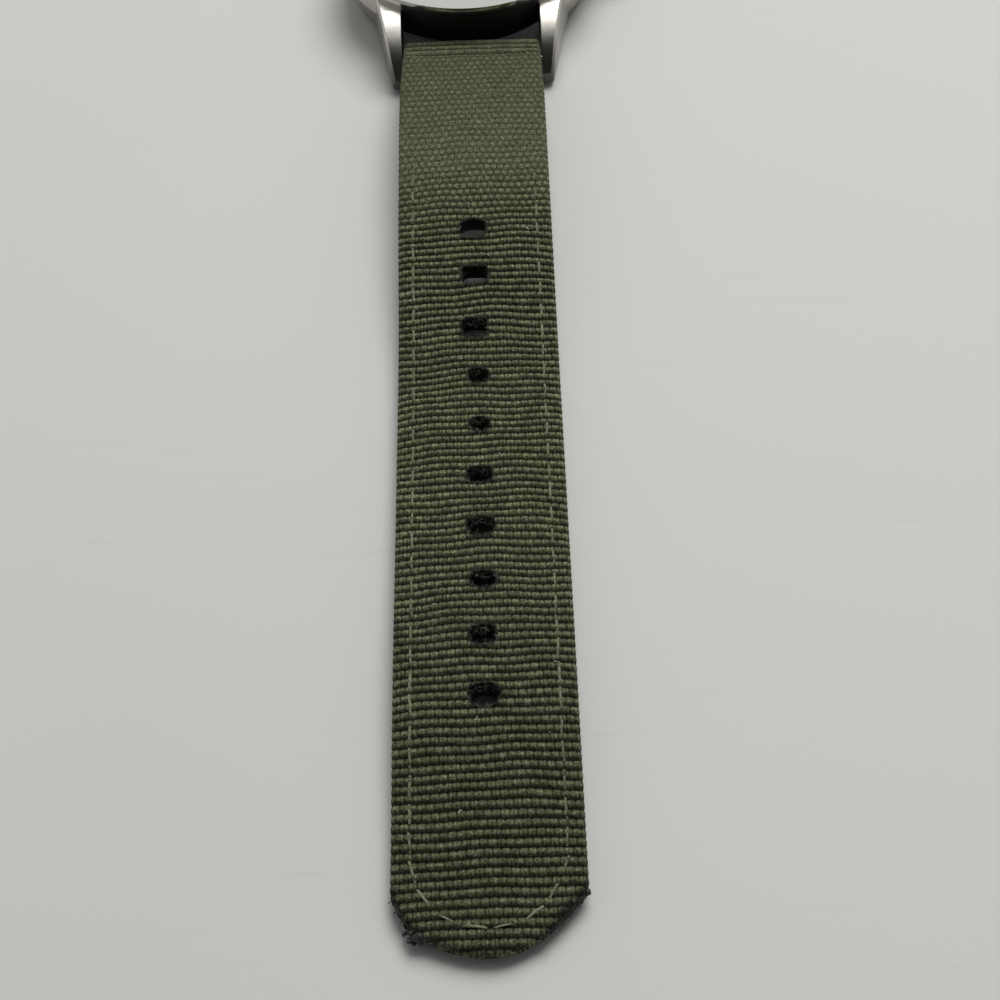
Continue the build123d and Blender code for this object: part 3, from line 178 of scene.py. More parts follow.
def yarnGroup():
    tree, given, out = newGroup("yarnCover", "ShaderNodeTree", [
        ("Cloth", "vector", None),
        ("Relief", "number", 1.0),
        ("Scorch", "number", 0.0),
        ("Top", "color", (0.16, 0.175, 0.105, 1)),
        ("Groove", "color", (0.02, 0.025, 0.012, 1)),
        ("Fade", "color", (0.2, 0.21, 0.14, 1)),
        ("Fibre", "number", 14.0),
    ], [("Color", "color"), ("Roughness", "number"), ("Height", "number")])
    cloth, relief, scorch = given["Cloth"], given["Relief"], given["Scorch"]
    streak = noise(scaled(cloth, (1.0, 0.7, 1.0)), given["Fibre"], 2.0, 0.7)
    cloud = noise(cloth, 0.22, 4.0, 0.6)
    mottle = noise(cloth, 1.7, 2.0, 0.5)
    # the relief tone mixes in the dark groove colour: painted shade between ribs and between yarn pairs
    height = calc("POWER", spread(relief, 0.1, 1.0), 1.42)
    body = mixColor(height, given["Groove"], given["Top"])
    # the Fade colour, paler and greyer, goes on the raised yarn: fading in cloudy patches, and painted sheen on the
    # strands along the tops
    lift = times(spread(cloud, 0.4, 0.72), spread(relief, 0.5, 1.0))
    strand = spread(streak, 0.5, 0.68, 0.0, 0.3)
    fadeAndSheenShare = plus(times(lift, 0.3), times(strand, height))
    withFadeAndSheen = mixColor(fadeAndSheenShare, body, given["Fade"])
    light = spread(streak, 0.34, 0.68, 0.3, 1.85)
    shade = times(light, spread(mottle, 0.2, 0.8, 0.84, 1.14))
    # in mm along the strap: painted shade where the lugs shade it, and darker towards the tip
    along = axesOf(cloth)[1]
    toneByPlace = times(spread(along, 4.0, 22.0, 0.76, 1.14), spread(along, 70.0, 120.0, 1.0, 0.72))
    toned = mixColor(1.0, withFadeAndSheen, times(shade, toneByPlace), "MULTIPLY")
    burnt = mixColor(spread(streak, 0.45, 0.68), (0.004, 0.004, 0.0035, 1), (0.034, 0.034, 0.028, 1))
    feed(out["Color"], mixColor(scorch, toned, burnt))
    feed(out["Roughness"], spread(scorch, 0.0, 1.0, 0.86, 0.7))
    feed(out["Height"], plus(streak, times(mottle, 0.4)))
    return tree


def dustGroup():
    tree, given, out = newGroup("settledDust", "ShaderNodeTree", [
        ("Color", "color", None),
        ("Position", "vector", None),
        ("Speck Scale", "number", 900.0),
        ("Amount", "number", 0.5),
        ("Dust", "color", (0.5, 0.5, 0.46, 1)),
    ], [("Color", "color"), ("Mask", "number")])
    cells = addNode(tree, "ShaderNodeTexVoronoi")
    feed(cells.inputs["Vector"], given["Position"])
    feed(cells.inputs["Scale"], given["Speck Scale"])
    chosen = noise(given["Position"], times(given["Speck Scale"], 0.31), 1.0)
    near = spread(cells.outputs["Distance"], 0.13, 0.05)
    mask = times(near, spread(chosen, 0.64, 0.7), clamp=True)
    mask = times(mask, given["Amount"], clamp=True)
    feed(out["Color"], mixColor(mask, given["Color"], given["Dust"]))
    feed(out["Mask"], mask)
    return tree


fineGrain, yarnCover, settledDust = grainGroup(), yarnGroup(), dustGroup()


def newMaterial(name):
    made = bpy.data.materials.new(name)
    made.use_nodes = True
    tree = made.node_tree
    return made, tree, tree.nodes["Principled BSDF"].inputs


def addBump(height, strength, distance, target):
    node = addNode(treeOf(height), "ShaderNodeBump")
    feed(node.inputs["Height"], height)
    node.inputs["Strength"].default_value = strength
    node.inputs["Distance"].default_value = distance
    feed(target, node.outputs[0])


def objectSpace(tree, stretch=(1, 1, 1)):
    place = addNode(tree, "ShaderNodeTexCoord").outputs["Object"]
    return place if stretch == (1, 1, 1) else scaled(place, stretch)


# finishes of the rigid pieces: colours, roughness, grain scale (per metre), bump height and dust
finishes = {
    "case_steel": dict(base=(0.46, 0.44, 0.405), worn=(0.54, 0.52, 0.485), metallic=1, rough=0.3,
                       scale=9000, grain=0.5, smudge=0.35, bump=0.5, height=0.00004, dust=0.25),
    "polished_steel": dict(base=(0.74, 0.73, 0.71), worn=(0.66, 0.655, 0.64), metallic=1, rough=0.1,
                           scale=5000, grain=0.1, smudge=0.35, bump=0.05, height=0.00002, dust=0.15),
    "movement_plate": dict(base=(0.60, 0.58, 0.53), worn=(0.70, 0.68, 0.62), metallic=1, rough=0.3,
                           scale=900, grain=0.45, smudge=0.2, bump=0.25, height=0.00003, stretch=(12, 1, 1)),
    "movement_brass": dict(base=(0.72, 0.53, 0.23), worn=(0.62, 0.44, 0.19), metallic=1, rough=0.24,
                           scale=7000, grain=0.3, smudge=0.3, bump=0.15, height=0.00002),
    "spring_steel": dict(base=(0.30, 0.33, 0.42), worn=(0.42, 0.43, 0.46), metallic=1, rough=0.28,
                         scale=8000, grain=0.3, smudge=0.3, bump=0.1, height=0.00002),
    "dial_paint": dict(base=(0.012, 0.012, 0.013), worn=(0.018, 0.018, 0.018), metallic=0, rough=0.72,
                       scale=11000, grain=0.5, smudge=0.2, bump=0.12, height=0.00003),
    "hand_paint": dict(base=(0.78, 0.77, 0.72), worn=(0.70, 0.69, 0.64), metallic=0, rough=0.4,
                       scale=6000, grain=0.2, smudge=0.2, bump=0.1, height=0.00002),
    "lume": dict(base=(0.74, 0.79, 0.60), worn=(0.66, 0.71, 0.50), metallic=0, rough=0.8,
                 scale=12000, grain=0.5, smudge=0.3, bump=0.5, height=0.00003),
    "holder_plastic": dict(base=(0.15, 0.15, 0.15), worn=(0.2, 0.2, 0.2), metallic=0, rough=0.55,
                           scale=4000, grain=0.3, smudge=0.2, bump=0.2, height=0.00003),
    "gasket_rubber": dict(base=(0.02, 0.02, 0.02), worn=(0.035, 0.035, 0.035), metallic=0, rough=0.65,
                          scale=5000, grain=0.4, smudge=0.3, bump=0.3, height=0.00003),
}
# painted shade: between the lugs and at their ends the case's colour is darkened where shade falls; places in metres
paintedShadeAt = dict(across=(0.0092, 0.0088), inside=(0.0135, 0.0142), ends=(0.0188, 0.0222), endShare=0.8,
              caseOnly=0.03, color=(0.035, 0.034, 0.032, 1), rough=0.5)


def rigidFinish(name, look):
    made, tree, shader = newMaterial(name)
    place = objectSpace(tree, look.get("stretch", (1, 1, 1)))
    grain = placeGroup(tree, fineGrain, Position=place, Base=(*look["base"], 1), Worn=(*look["worn"], 1),
                       Scale=look["scale"], Grain=look["grain"], Smudge=look["smudge"], Roughness=look["rough"])
    color, roughness = grain["Color"], grain["Roughness"]
    # painted shade: the case's colour is darkened between the lugs and at the lug ends
    if name == "case_steel":
        axes = axesOf(objectSpace(tree))
        across, along = (calc("ABSOLUTE", axes[k]) for k in (0, 1))
        between = times(spread(across, *paintedShadeAt["across"]), spread(along, *paintedShadeAt["inside"]))
        ends = times(spread(along, *paintedShadeAt["ends"]), paintedShadeAt["endShare"])
        paintedShade = times(calc("MAXIMUM", between, ends), calc("LESS_THAN", along, paintedShadeAt["caseOnly"]))
        color = mixColor(paintedShade, color, paintedShadeAt["color"])
        roughness = calc("MAXIMUM", roughness, times(paintedShade, paintedShadeAt["rough"]))
    if "dust" in look:
        dusted = placeGroup(tree, settledDust, Color=color, Position=objectSpace(tree), Amount=look["dust"])
        color = dusted["Color"]
    feed(shader["Base Color"], color)
    feed(shader["Roughness"], roughness)
    shader["Metallic"].default_value = look["metallic"]
    addBump(grain["Height"], look["bump"], look["height"], shader["Normal"])
    return made


def glassFinish():
    made, tree, shader = newMaterial("crystal_glass")
    smear = noise(objectSpace(tree), 140.0, 4.0)
    feed(shader["Roughness"], spread(smear, 0.4, 0.8, 0.0, 0.05))
    shader["Base Color"].default_value = (0.97, 0.99, 0.99, 1)
    shader["Transmission Weight"].default_value = 1
    shader["IOR"].default_value = 1.5
    clear = addNode(tree, "ShaderNodeBsdfTransparent")
    mix = addNode(tree, "ShaderNodeMixShader")
    feed(mix.inputs[0], addNode(tree, "ShaderNodeLightPath").outputs["Is Shadow Ray"])
    feed(mix.inputs[1], tree.nodes["Principled BSDF"].outputs[0])
    feed(mix.inputs[2], clear.outputs[0])
    feed(tree.nodes["Material Output"].inputs[0], mix.outputs[0])
    return made


def clothFinish(name, top, groove, fade, fibre=5.5, bump=0.9, dust=0.5):
    made, tree, shader = newMaterial(name)
    cloth, relief, scorch = (addNode(tree, "ShaderNodeAttribute", attribute_name=label).outputs[kind]
                             for label, kind in (("cloth", "Vector"), ("relief", "Fac"), ("scorch", "Fac")))
    yarn = placeGroup(tree, yarnCover, Cloth=cloth, Relief=relief, Scorch=scorch, Top=(*top, 1),
                      Groove=(*groove, 1), Fade=(*fade, 1), Fibre=fibre)
    dusted = placeGroup(tree, settledDust, Color=yarn["Color"], Position=cloth, Amount=dust,
                        Dust=(0.36, 0.38, 0.3, 1))
    dusted["Color"].node.inputs["Speck Scale"].default_value = 1.1
    feed(shader["Base Color"], dusted["Color"])
    feed(shader["Roughness"], yarn["Roughness"])
    shader["Sheen Weight"].default_value = 0.04
    shader["Sheen Roughness"].default_value = 0.6
    shader["Sheen Tint"].default_value = (0.85, 0.9, 0.65, 1)
    shader["Specular IOR Level"].default_value = 0.15
    addBump(yarn["Height"], bump, 0.00005, shader["Normal"])
    return made


def threadFinish():
    made, tree, shader = newMaterial("stitchThread")
    place = objectSpace(tree)
    ply = noise(place, 5200.0, 2.0)
    toneByPlace = spread(noise(place, 150.0, 3.0), 0.35, 0.65)
    light = mixColor(toneByPlace, (0.125, 0.15, 0.083, 1), (0.25, 0.285, 0.175, 1))
    twist = spread(ply, 0.35, 0.6)
    feed(shader["Base Color"], mixColor(twist, (0.055, 0.067, 0.036, 1), light))
    feed(shader["Roughness"], spread(ply, 0.3, 0.7, 0.6, 0.85))
    addBump(ply, 0.5, 0.00004, shader["Normal"])
    return made


# loose fibres and melted yarn: two tones mixed by a noise (scale per metre)
fibreLooks = {
    "cutFibre": dict(scale=1800.0, detail=2.0, tones=(0.4, 0.65), dark=(0.008, 0.010, 0.007, 1),
                     light=(0.13, 0.145, 0.112, 1)),
    "meltedEdge": dict(scale=2600.0, detail=4.0, coarse=0.65, tones=(0.4, 0.75), dark=(0.005, 0.005, 0.005, 1),
                       light=(0.045, 0.045, 0.044, 1), gloss=(0.3, 0.7, 0.35, 0.75), bump=(0.8, 0.0001)),
    "lintFibre": dict(scale=900.0, detail=1.0, tones=(0.35, 0.65), dark=(0.34, 0.36, 0.3, 1),
                      light=(0.72, 0.72, 0.68, 1)),
}


def fibreFinish(name):
    look = fibreLooks[name]
    made, tree, shader = newMaterial(name)
    tone = noise(objectSpace(tree), look["scale"], look["detail"], look.get("coarse", 0.5))
    feed(shader["Base Color"], mixColor(spread(tone, *look["tones"]), look["dark"], look["light"]))
    feed(shader["Roughness"], spread(tone, *look["gloss"]) if "gloss" in look else 0.8)
    if "bump" in look:
        addBump(tone, *look["bump"], shader["Normal"])
    return made


skins = {name: rigidFinish(name, look) for name, look in finishes.items()}
skins["crystal_glass"] = glassFinish()
# groove is the colour of the painted shade in the weave's hollows
webbing = clothFinish("olive_webbing", top=(0.180, 0.203, 0.109), groove=(0.006, 0.0095, 0.0025),
                      fade=(0.23, 0.245, 0.172))
lining = clothFinish("dark_lining", top=(0.034, 0.036, 0.037), groove=(0.012, 0.012, 0.012),
                     fade=(0.05, 0.053, 0.054), fibre=9.0, bump=0.7, dust=0.6)
keeperCloth = clothFinish("keeper_webbing", top=(0.164, 0.189, 0.104), groove=(0.006, 0.0095, 0.0025),
                          fade=(0.21, 0.224, 0.158))
thread = threadFinish()
char, lint, fuzz = (fibreFinish(name) for name in ("meltedEdge", "lintFibre", "cutFibre"))

# the spring bars have spring steel, and every other CAD node that isn't listed has the case's
slotNodes = {
    "polished_steel": "bezel bridge_screws winding_screws",
    "movement_plate": "main_plate train_bridge barrel_bridge balance_cock pallet_bridge",
    "movement_brass": "barrel centre_wheel third_wheel fourth_wheel balance_wheel hour_wheel minute_wheel",
    "spring_steel": "hairspring mainspring pallet_fork click ratchet_wheel crown_wheel barrel_arbor stem"
                    " clutch_wheel winding_pinion cannon_pinion escape_wheel",
    "crystal_glass": "crystal",
    "dial_paint": "dial flange_ring",
    "hand_paint": "hour_hand minute_hand seconds_hand",
    "lume": "hour_hand_lume minute_hand_lume",
    "holder_plastic": "movement_holder",
    "gasket_rubber": "case_back_gasket crystal_gasket crown_gasket",
}


def dressNodes():
    chosen = {node: skin for skin, group in slotNodes.items() for node in group.split()}
    for name, piece in nodes.items():
        other = "spring_steel" if "_spring_bar_" in name else "case_steel"
        piece.data.materials.clear()
        piece.data.materials.append(skins[chosen.get(name, other)])


dressNodes()
print("materials made")


# geometry node trees

def geometryTree(name, inputs):
    inputs = [("Geometry", "geometry", None), *inputs, ("Material", "skin", None)]
    tree, into, out = newGroup(name, "GeometryNodeTree", inputs, [("Geometry", "geometry")])
    tree.is_modifier = True
    return tree, into, out


def named(tree, label, kind="FLOAT"):
    node = addNode(tree, "GeometryNodeInputNamedAttribute", data_type=kind)
    node.inputs["Name"].default_value = label
    return node.outputs["Attribute"]


def finishTree(geometry, skin, out):
    tree = treeOf(geometry)
    real = addNode(tree, "GeometryNodeRealizeInstances")
    feed(real.inputs[0], geometry)
    painted = addNode(tree, "GeometryNodeSetMaterial")
    feed(painted.inputs["Geometry"], real.outputs[0])
    feed(painted.inputs["Material"], skin)
    feed(out[0], painted.outputs[0])


# how sharp the tops are (lower is flatter), how deep the notches, and how dark the painted shade in them gets; where
# two values stand, they are for loose cloth and for firm cloth
weaveLook = dict(
    ribSharp=0.7, pairSharp=0.6, yarnSharp=0.5, dotSharp=1.25, looseAt=0.25, plainNotch=0.3, pairNotch=(1.4, 0.7),
    yarnNotch=0.55, waviness=1.1, ribDark=(0.6, 1.2), pairDark=(2.6, 0.8), pairDepth=(0.7, 0.42), pairDepthLow=0.85,
    yarnDepth=0.7, dotDepth=0.72, pairLuck=(0.82, 1.0), yarnLuck=(0.78, 1.06), looseContrast=0.48, midTone=0.62)


def weaveTree():
    # ribs across the strap, paired yarns along each rib, every other rib shifted by half a pair
    look = weaveLook
    tree, given, out = geometryTree("ribbedWeave", [
        ("Rib Depth", "number", 0.0003), ("Bead Depth", "number", 0.00012),
        ("Unevenness", "number", 0.00006), ("Wobble", "number", 0.14), ("Plain Ribs", "number", 5.0)])
    along, across, strength = axesOf(named(tree, "weave", "FLOAT_VECTOR"))
    cloth = named(tree, "cloth", "FLOAT_VECTOR")

    def hump(place, waves, power):
        wave = calc("SINE", times(place, waves * math.pi))
        return calc("POWER", calc("ABSOLUTE", wave), power)

    def luckAt(rib, place):
        chance = addNode(tree, "ShaderNodeTexWhiteNoise")
        feed(chance.inputs["Vector"], joined(rib, calc("FLOOR", place)))
        return chance.outputs["Value"]

    def gap(value):
        return minus(1.0, value)

    def byFirmness(values):
        return spread(firm, 0.0, 1.0, *values)

    wave = times(minus(noise(cloth, look["waviness"], 2.0), 0.5), given["Wobble"])
    ribNumber = calc("FLOOR", plus(along, 0.001))
    ribPlace = plus(along, wave)
    shift = times(calc("MODULO", ribNumber, 2.0), 0.5)
    shifted = plus(plus(across, shift), wave)
    rib, bead = hump(ribPlace, 1, look["ribSharp"]), hump(shifted, 1, look["pairSharp"])
    twin = hump(shifted, 2, look["yarnSharp"])
    notched = calc("GREATER_THAN", ribNumber, minus(given["Plain Ribs"], 0.5))
    notched = spread(notched, 0.0, 1.0, look["plainNotch"], 1.0)
    firm = spread(strength, look["looseAt"], 1.0)
    pairLuck, yarnLuck = luckAt(ribNumber, shifted), luckAt(ribNumber, times(shifted, 2.0))

    ribDrop = times(gap(rib), times(given["Rib Depth"], strength))
    notch = times(gap(bead), spread(rib, 0.0, 1.0, *look["pairNotch"]))
    split = times(gap(twin), look["yarnNotch"])
    beadDrop = plus(notch, times(split, firm))
    beadDrop = times(beadDrop, times(given["Bead Depth"], notched))
    uneven = times(times(pairLuck, given["Unevenness"]), times(rib, bead))
    drop = plus(plus(ribDrop, beadDrop), uneven)
    offset = addNode(tree, "ShaderNodeVectorMath", operation="SCALE")
    feed(offset.inputs[0], named(tree, "outward", "FLOAT_VECTOR"))
    feed(offset.inputs["Scale"], times(drop, -1.0))
    moved = addNode(tree, "GeometryNodeSetPosition")
    feed(moved.inputs["Geometry"], given["Geometry"])
    feed(moved.inputs["Offset"], offset.outputs[0])

    # the tone that the yarn's colour follows: painted shade, dark between ribs and between pairs
    ribTone = calc("POWER", rib, byFirmness(look["ribDark"]))
    pairGap = gap(calc("POWER", bead, byFirmness(look["pairDark"])))
    pairDepth = spread(rib, 0.3, 1.0, look["pairDepthLow"], byFirmness(look["pairDepth"]))
    pairTone = gap(times(pairGap, times(pairDepth, notched)))
    twinTone = spread(times(gap(twin), firm), 0.0, 1.0, 1.0, look["yarnDepth"])
    chance = spread(pairLuck, 0.0, 1.0, *look["pairLuck"])
    chance = times(chance, spread(yarnLuck, 0.0, 1.0, *look["yarnLuck"]))
    # where the cloth is flat by the case, each pair of yarns shows as a round dot ringed by painted shade
    dotTone = gap(times(gap(hump(shifted, 1, look["dotSharp"])), times(notched, look["dotDepth"])))
    beadTone = times(times(pairTone, twinTone), firm)
    beadTone = plus(beadTone, times(dotTone, gap(firm)))
    relief = times(times(ribTone, beadTone), chance)
    contrast = spread(strength, look["looseAt"], 1.0, look["looseContrast"], 1.0)
    relief = plus(times(minus(relief, look["midTone"]), contrast), look["midTone"])
    kept = addNode(tree, "GeometryNodeStoreNamedAttribute", data_type="FLOAT", domain="POINT")
    kept.inputs["Name"].default_value = "relief"
    feed(kept.inputs["Geometry"], moved.outputs[0])
    feed(kept.inputs["Value"], relief)
    finishTree(kept.outputs[0], given["Material"], out)
    return tree


def bentRod(corners, thickness, resolution, sides):
    tree = treeOf(thickness)
    bent = addNode(tree, "GeometryNodeCurveQuadraticBezier")
    bent.inputs["Resolution"].default_value = resolution
    for label, corner in zip(("Start", "Middle", "End"), corners):
        feed(bent.inputs[label], corner)
    ring = addNode(tree, "GeometryNodeCurvePrimitiveCircle")
    ring.inputs["Resolution"].default_value = sides
    feed(ring.inputs["Radius"], times(thickness, 0.5))
    rod = addNode(tree, "GeometryNodeCurveToMesh")
    feed(rod.inputs["Curve"], bent.outputs[0])
    feed(rod.inputs["Profile Curve"], ring.outputs[0])
    rod.inputs["Fill Caps"].default_value = True
    return rod.outputs[0]


def randomOf(kind, low, high, seed):
    node = addNode(treeOf(seed), "FunctionNodeRandomValue", data_type=kind)
    family = "VECTOR" if kind == "FLOAT_VECTOR" else "VALUE"
    for socket, value in zip([s for s in node.inputs if s.type == family], (low, high)):
        feed(socket, value)
    feed(node.inputs["Seed"], seed)
    return next(s for s in node.outputs if s.type == family and s.enabled)


def placeRods(points, rod, facing, swing, size):
    tree = treeOf(points)
    turned = addNode(tree, "FunctionNodeRotateRotation", rotation_space="LOCAL")
    feed(turned.inputs["Rotation"], facing)
    feed(turned.inputs["Rotate By"], swing)
    placed = addNode(tree, "GeometryNodeInstanceOnPoints")
    feed(placed.inputs["Points"], points)
    feed(placed.inputs["Instance"], rod)
    feed(placed.inputs["Rotation"], turned.outputs[0])
    feed(placed.inputs["Scale"], size)
    return placed.outputs[0]


def alongTree(name, sides):
    # short arched rods, one after another, along every line of the source
    tree, given, out = geometryTree(name, [
        ("Pitch", "number", 0.0028), ("Length", "number", 0.0023), ("Thickness", "number", 0.00028),
        ("Arch", "number", 0.0002), ("Turn", "number", 0.05), ("Spread", "number", 0.1), ("Seed", "whole", 3)])
    lines = addNode(tree, "GeometryNodeMeshToCurve")
    feed(lines.inputs[0], given["Geometry"])
    even = addNode(tree, "GeometryNodeResampleCurve", mode="LENGTH")
    feed(even.inputs["Curve"], lines.outputs[0])
    feed(even.inputs["Length"], given["Pitch"])
    half = times(given["Length"], 0.5)
    corners = [joined(times(half, x), None, times(given["Arch"], z))
               for x, z in ((-1.0, -1.0), (0.0, 1.0), (1.0, -1.0))]
    rod = bentRod(corners, given["Thickness"], 8, sides)
    aimed = addNode(tree, "FunctionNodeAlignRotationToVector", axis="X")
    feed(aimed.inputs["Vector"], addNode(tree, "GeometryNodeInputTangent").outputs[0])
    back = times(given["Turn"], -1.0)
    low, high = joined(back, back, back), joined(given["Turn"], given["Turn"], given["Turn"])
    swing = randomOf("FLOAT_VECTOR", low, high, given["Seed"])
    small, large = minus(1.0, given["Spread"]), plus(1.0, given["Spread"])
    size = randomOf("FLOAT", small, large, plus(given["Seed"], 7.0))
    rods = placeRods(even.outputs[0], rod, aimed.outputs[0], swing, size)
    finishTree(rods, given["Material"], out)
    return tree


def scatterTree():
    # short bent fibres scattered over a surface
    tree, given, out = geometryTree("strayFibres", [
        ("Density", "number", 20000.0), ("Length", "number", 0.0008), ("Thickness", "number", 0.00004),
        ("Seed", "whole", 5)])
    points = addNode(tree, "GeometryNodeDistributePointsOnFaces")
    feed(points.inputs["Mesh"], given["Geometry"])
    feed(points.inputs["Density"], given["Density"])
    feed(points.inputs["Seed"], given["Seed"])
    corners = [joined(*(times(given["Length"], share) for share in shares))
               for shares in ((-0.5, 0.0, 0.0), (0.1, 0.35, 0.12), (0.5, -0.1, 0.05))]
    rod = bentRod(corners, given["Thickness"], 6, 4)
    swing = randomOf("FLOAT_VECTOR", (-0.15, -0.15, 0), (0.15, 0.15, 6.28), given["Seed"])
    size = randomOf("FLOAT", 0.35, 1.3, given["Seed"])
    fibres = placeRods(points.outputs["Points"], rod, points.outputs["Rotation"], swing, size)
    finishTree(fibres, given["Material"], out)
    return tree


def ringTree():
    # flat marks set round the dial, every so many of them left out
    tree, given, out = geometryTree("marksRound", [
        ("Count", "whole", 60), ("Every", "whole", 1), ("Left Out", "whole", 0), ("Radius", "number", 0.013),
        ("Length", "number", 0.0007), ("Width", "number", 0.00015), ("Height", "number", 0.00003),
        ("Level", "number", 0.0072)])
    circle = addNode(tree, "GeometryNodeMeshCircle")
    feed(circle.inputs["Vertices"], given["Count"])
    feed(circle.inputs["Radius"], given["Radius"])
    number = addNode(tree, "GeometryNodeInputIndex").outputs[0]

    def onBeat(beat):
        return calc("LESS_THAN", calc("MODULO", number, beat), 0.5)

    beat = calc("MAXIMUM", given["Left Out"], 1.0)
    missing = times(calc("GREATER_THAN", given["Left Out"], 0.5), onBeat(beat))
    chosen = times(onBeat(given["Every"]), minus(1.0, missing))
    block = addNode(tree, "GeometryNodeMeshCube")
    feed(block.inputs["Size"], joined(*(given[label] for label in ("Length", "Width", "Height"))))
    aimed = addNode(tree, "FunctionNodeAlignRotationToVector", axis="X")
    feed(aimed.inputs["Vector"], addNode(tree, "GeometryNodeInputPosition").outputs[0])
    marks = addNode(tree, "GeometryNodeInstanceOnPoints")
    feed(marks.inputs["Points"], circle.outputs[0])
    feed(marks.inputs["Selection"], calc("GREATER_THAN", chosen, 0.5))
    feed(marks.inputs["Instance"], block.outputs[0])
    feed(marks.inputs["Rotation"], aimed.outputs[0])
    lifted = addNode(tree, "GeometryNodeTransform")
    feed(lifted.inputs["Geometry"], marks.outputs[0])
    feed(lifted.inputs["Translation"], joined(z=given["Level"]))
    finishTree(lifted.outputs[0], given["Material"], out)
    return tree


def newPiece(name, mesh, skin=None):
    if skin:
        mesh.materials.append(skin)
    piece = bpy.data.objects.new(name, mesh)
    scene.collection.objects.link(piece)
    return piece


# these inputs of the trees are sizes, given to runTree in mm
treeSizes = {"RibDepth", "BeadDepth", "Unevenness", "Pitch", "Length", "Thickness", "Arch", "Radius", "Width",
             "Height", "Level"}


def runTree(name, tree, source, skin, **values):
    holder = newPiece(name + "Source", source)
    modifier = holder.modifiers.new("made", "NODES")
    modifier.node_group = tree
    values["Material"] = skin
    for socket in tree.interface.items_tree:
        label = socket.name.replace(" ", "")
        if socket.item_type == "SOCKET" and socket.in_out == "INPUT" and label in values:
            value = values[label]
            modifier[socket.identifier] = value * mm if label in treeSizes else value
    graph = bpy.context.evaluated_depsgraph_get()
    mesh = bpy.data.meshes.new_from_object(holder.evaluated_get(graph), preserve_all_data_layers=True,
                                           depsgraph=graph)
    bpy.data.objects.remove(holder)
    mesh.name = name
    return newPiece(name, mesh)


ribbedWeave, strayFibres, marksRound = weaveTree(), scatterTree(), ringTree()
seamStitches, edgeFibres = alongTree("seamStitches", sides=8), alongTree("edgeFibres", sides=3)
print("geometry trees made")


# the strap halves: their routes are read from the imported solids, so the cloth lies where the CAD says.
# sizes are in mm; s runs along the strap's top from its end in the case, x across it

strapLook = dict(
    endHalf=8.7, fullHalf=8.95, taper=13.2, webbingThickness=1.0, stackThickness=2.2, ribPitch=0.94, beads=22,
    bow=0.48, startBow=0.45, startFade=4, skewFade=11, drift=0.09, ribDepth=0.36, beadDepth=0.13, unevenness=0.07,
    edgeRound=0.45, edgeDrop=0.42, scallop=0.1, tipRound=1.0, tipDrop=0.85, grooveDepth=0.26, grooveHalf=7.2, seed=11)
# firstHole and holes scale the lining's holes against the webbing's; the narrower ones are a painted shade in the
# holes
liningLook = dict(ribPitch=0.6, columns=24, edgeDrop=0.25, tipInset=0.7, tipDrop=0.3, firstHole=(0.97, 0.97),
                  holes=(0.85, 0.72), ragged=0.02, loopHalf=8.85, loopInner=0.79, loopLobe=(11, 42), barRoom=0.95)
seamLook = dict(inset=1.7, cross=5.3, crossHalf=6.8, crossSunk=0.48, endHalf=6.6, step=0.5,
                sunkAt=([0, 20, 30], [0.32, 0.3, 0.17]))
# the cut end, as distances from the strap's full length: not quite round, its right corner cut flatter
tipOutline = [
    (-8.95, 6.5), (-8.4, 5.1), (-7.8, 3.9), (-7.0, 2.9), (-6.0, 2.2), (-5.1, 1.75), (-4.1, 1.2), (-3.0, 0.85),
    (-2.0, 0.6), (-1.0, 0.42), (0.2, 0.4), (1.2, 0.45), (2.2, 0.65), (3.0, 1.0), (3.9, 1.4), (4.9, 2.0), (6.0, 3.0),
    (6.6, 3.55), (7.2, 4.15), (8.0, 5.0), (8.95, 6.2)]
seamArc = [(-7.2, 9.2), (-6.5, 6.65), (-5.0, 4.6), (-2.9, 3.3), (0.0, 2.88), (2.5, 3.25), (4.8, 4.6), (6.2, 6.75),
           (6.9, 8.4)]
# where the cut end is melted: from how far across and over how much, and a spot in the middle
meltLook = dict(right=(4.2, 1.2), left=(4.6, 1.0), spot=(-0.2, 0.9, 0.8), reach=0.55, fade=0.4)
# each hole was burnt through by hand: place across, shift along, half width, half length, squareness
tailHoles = dict(first=34.2, pitch=6.85, ragged=0.035, scorch=0.8, cuts=[
    (-0.19, -0.40, 1.62, 1.36, 2.9), (-0.20, -0.70, 1.64, 1.24, 4.2), (-0.36, -0.42, 1.52, 1.34, 4.6),
    (-0.08, -0.58, 1.22, 1.06, 3.0), (0.00, -0.48, 1.16, 1.04, 2.6), (-0.10, -0.46, 1.42, 1.16, 3.2),
    (-0.10, -0.52, 1.52, 1.26, 3.0), (0.04, -0.60, 1.42, 1.12, 2.8), (-0.08, -0.74, 1.40, 1.20, 3.4),
    (-0.08, -0.84, 1.62, 1.30, 2.5)])
rng = np.random.default_rng(strapLook["seed"])


def smoothed(values, rounds):
    for _ in range(rounds):
        values[1:-1] = (values[:-2] + 2 * values[1:-1] + values[2:]) / 4
    return values


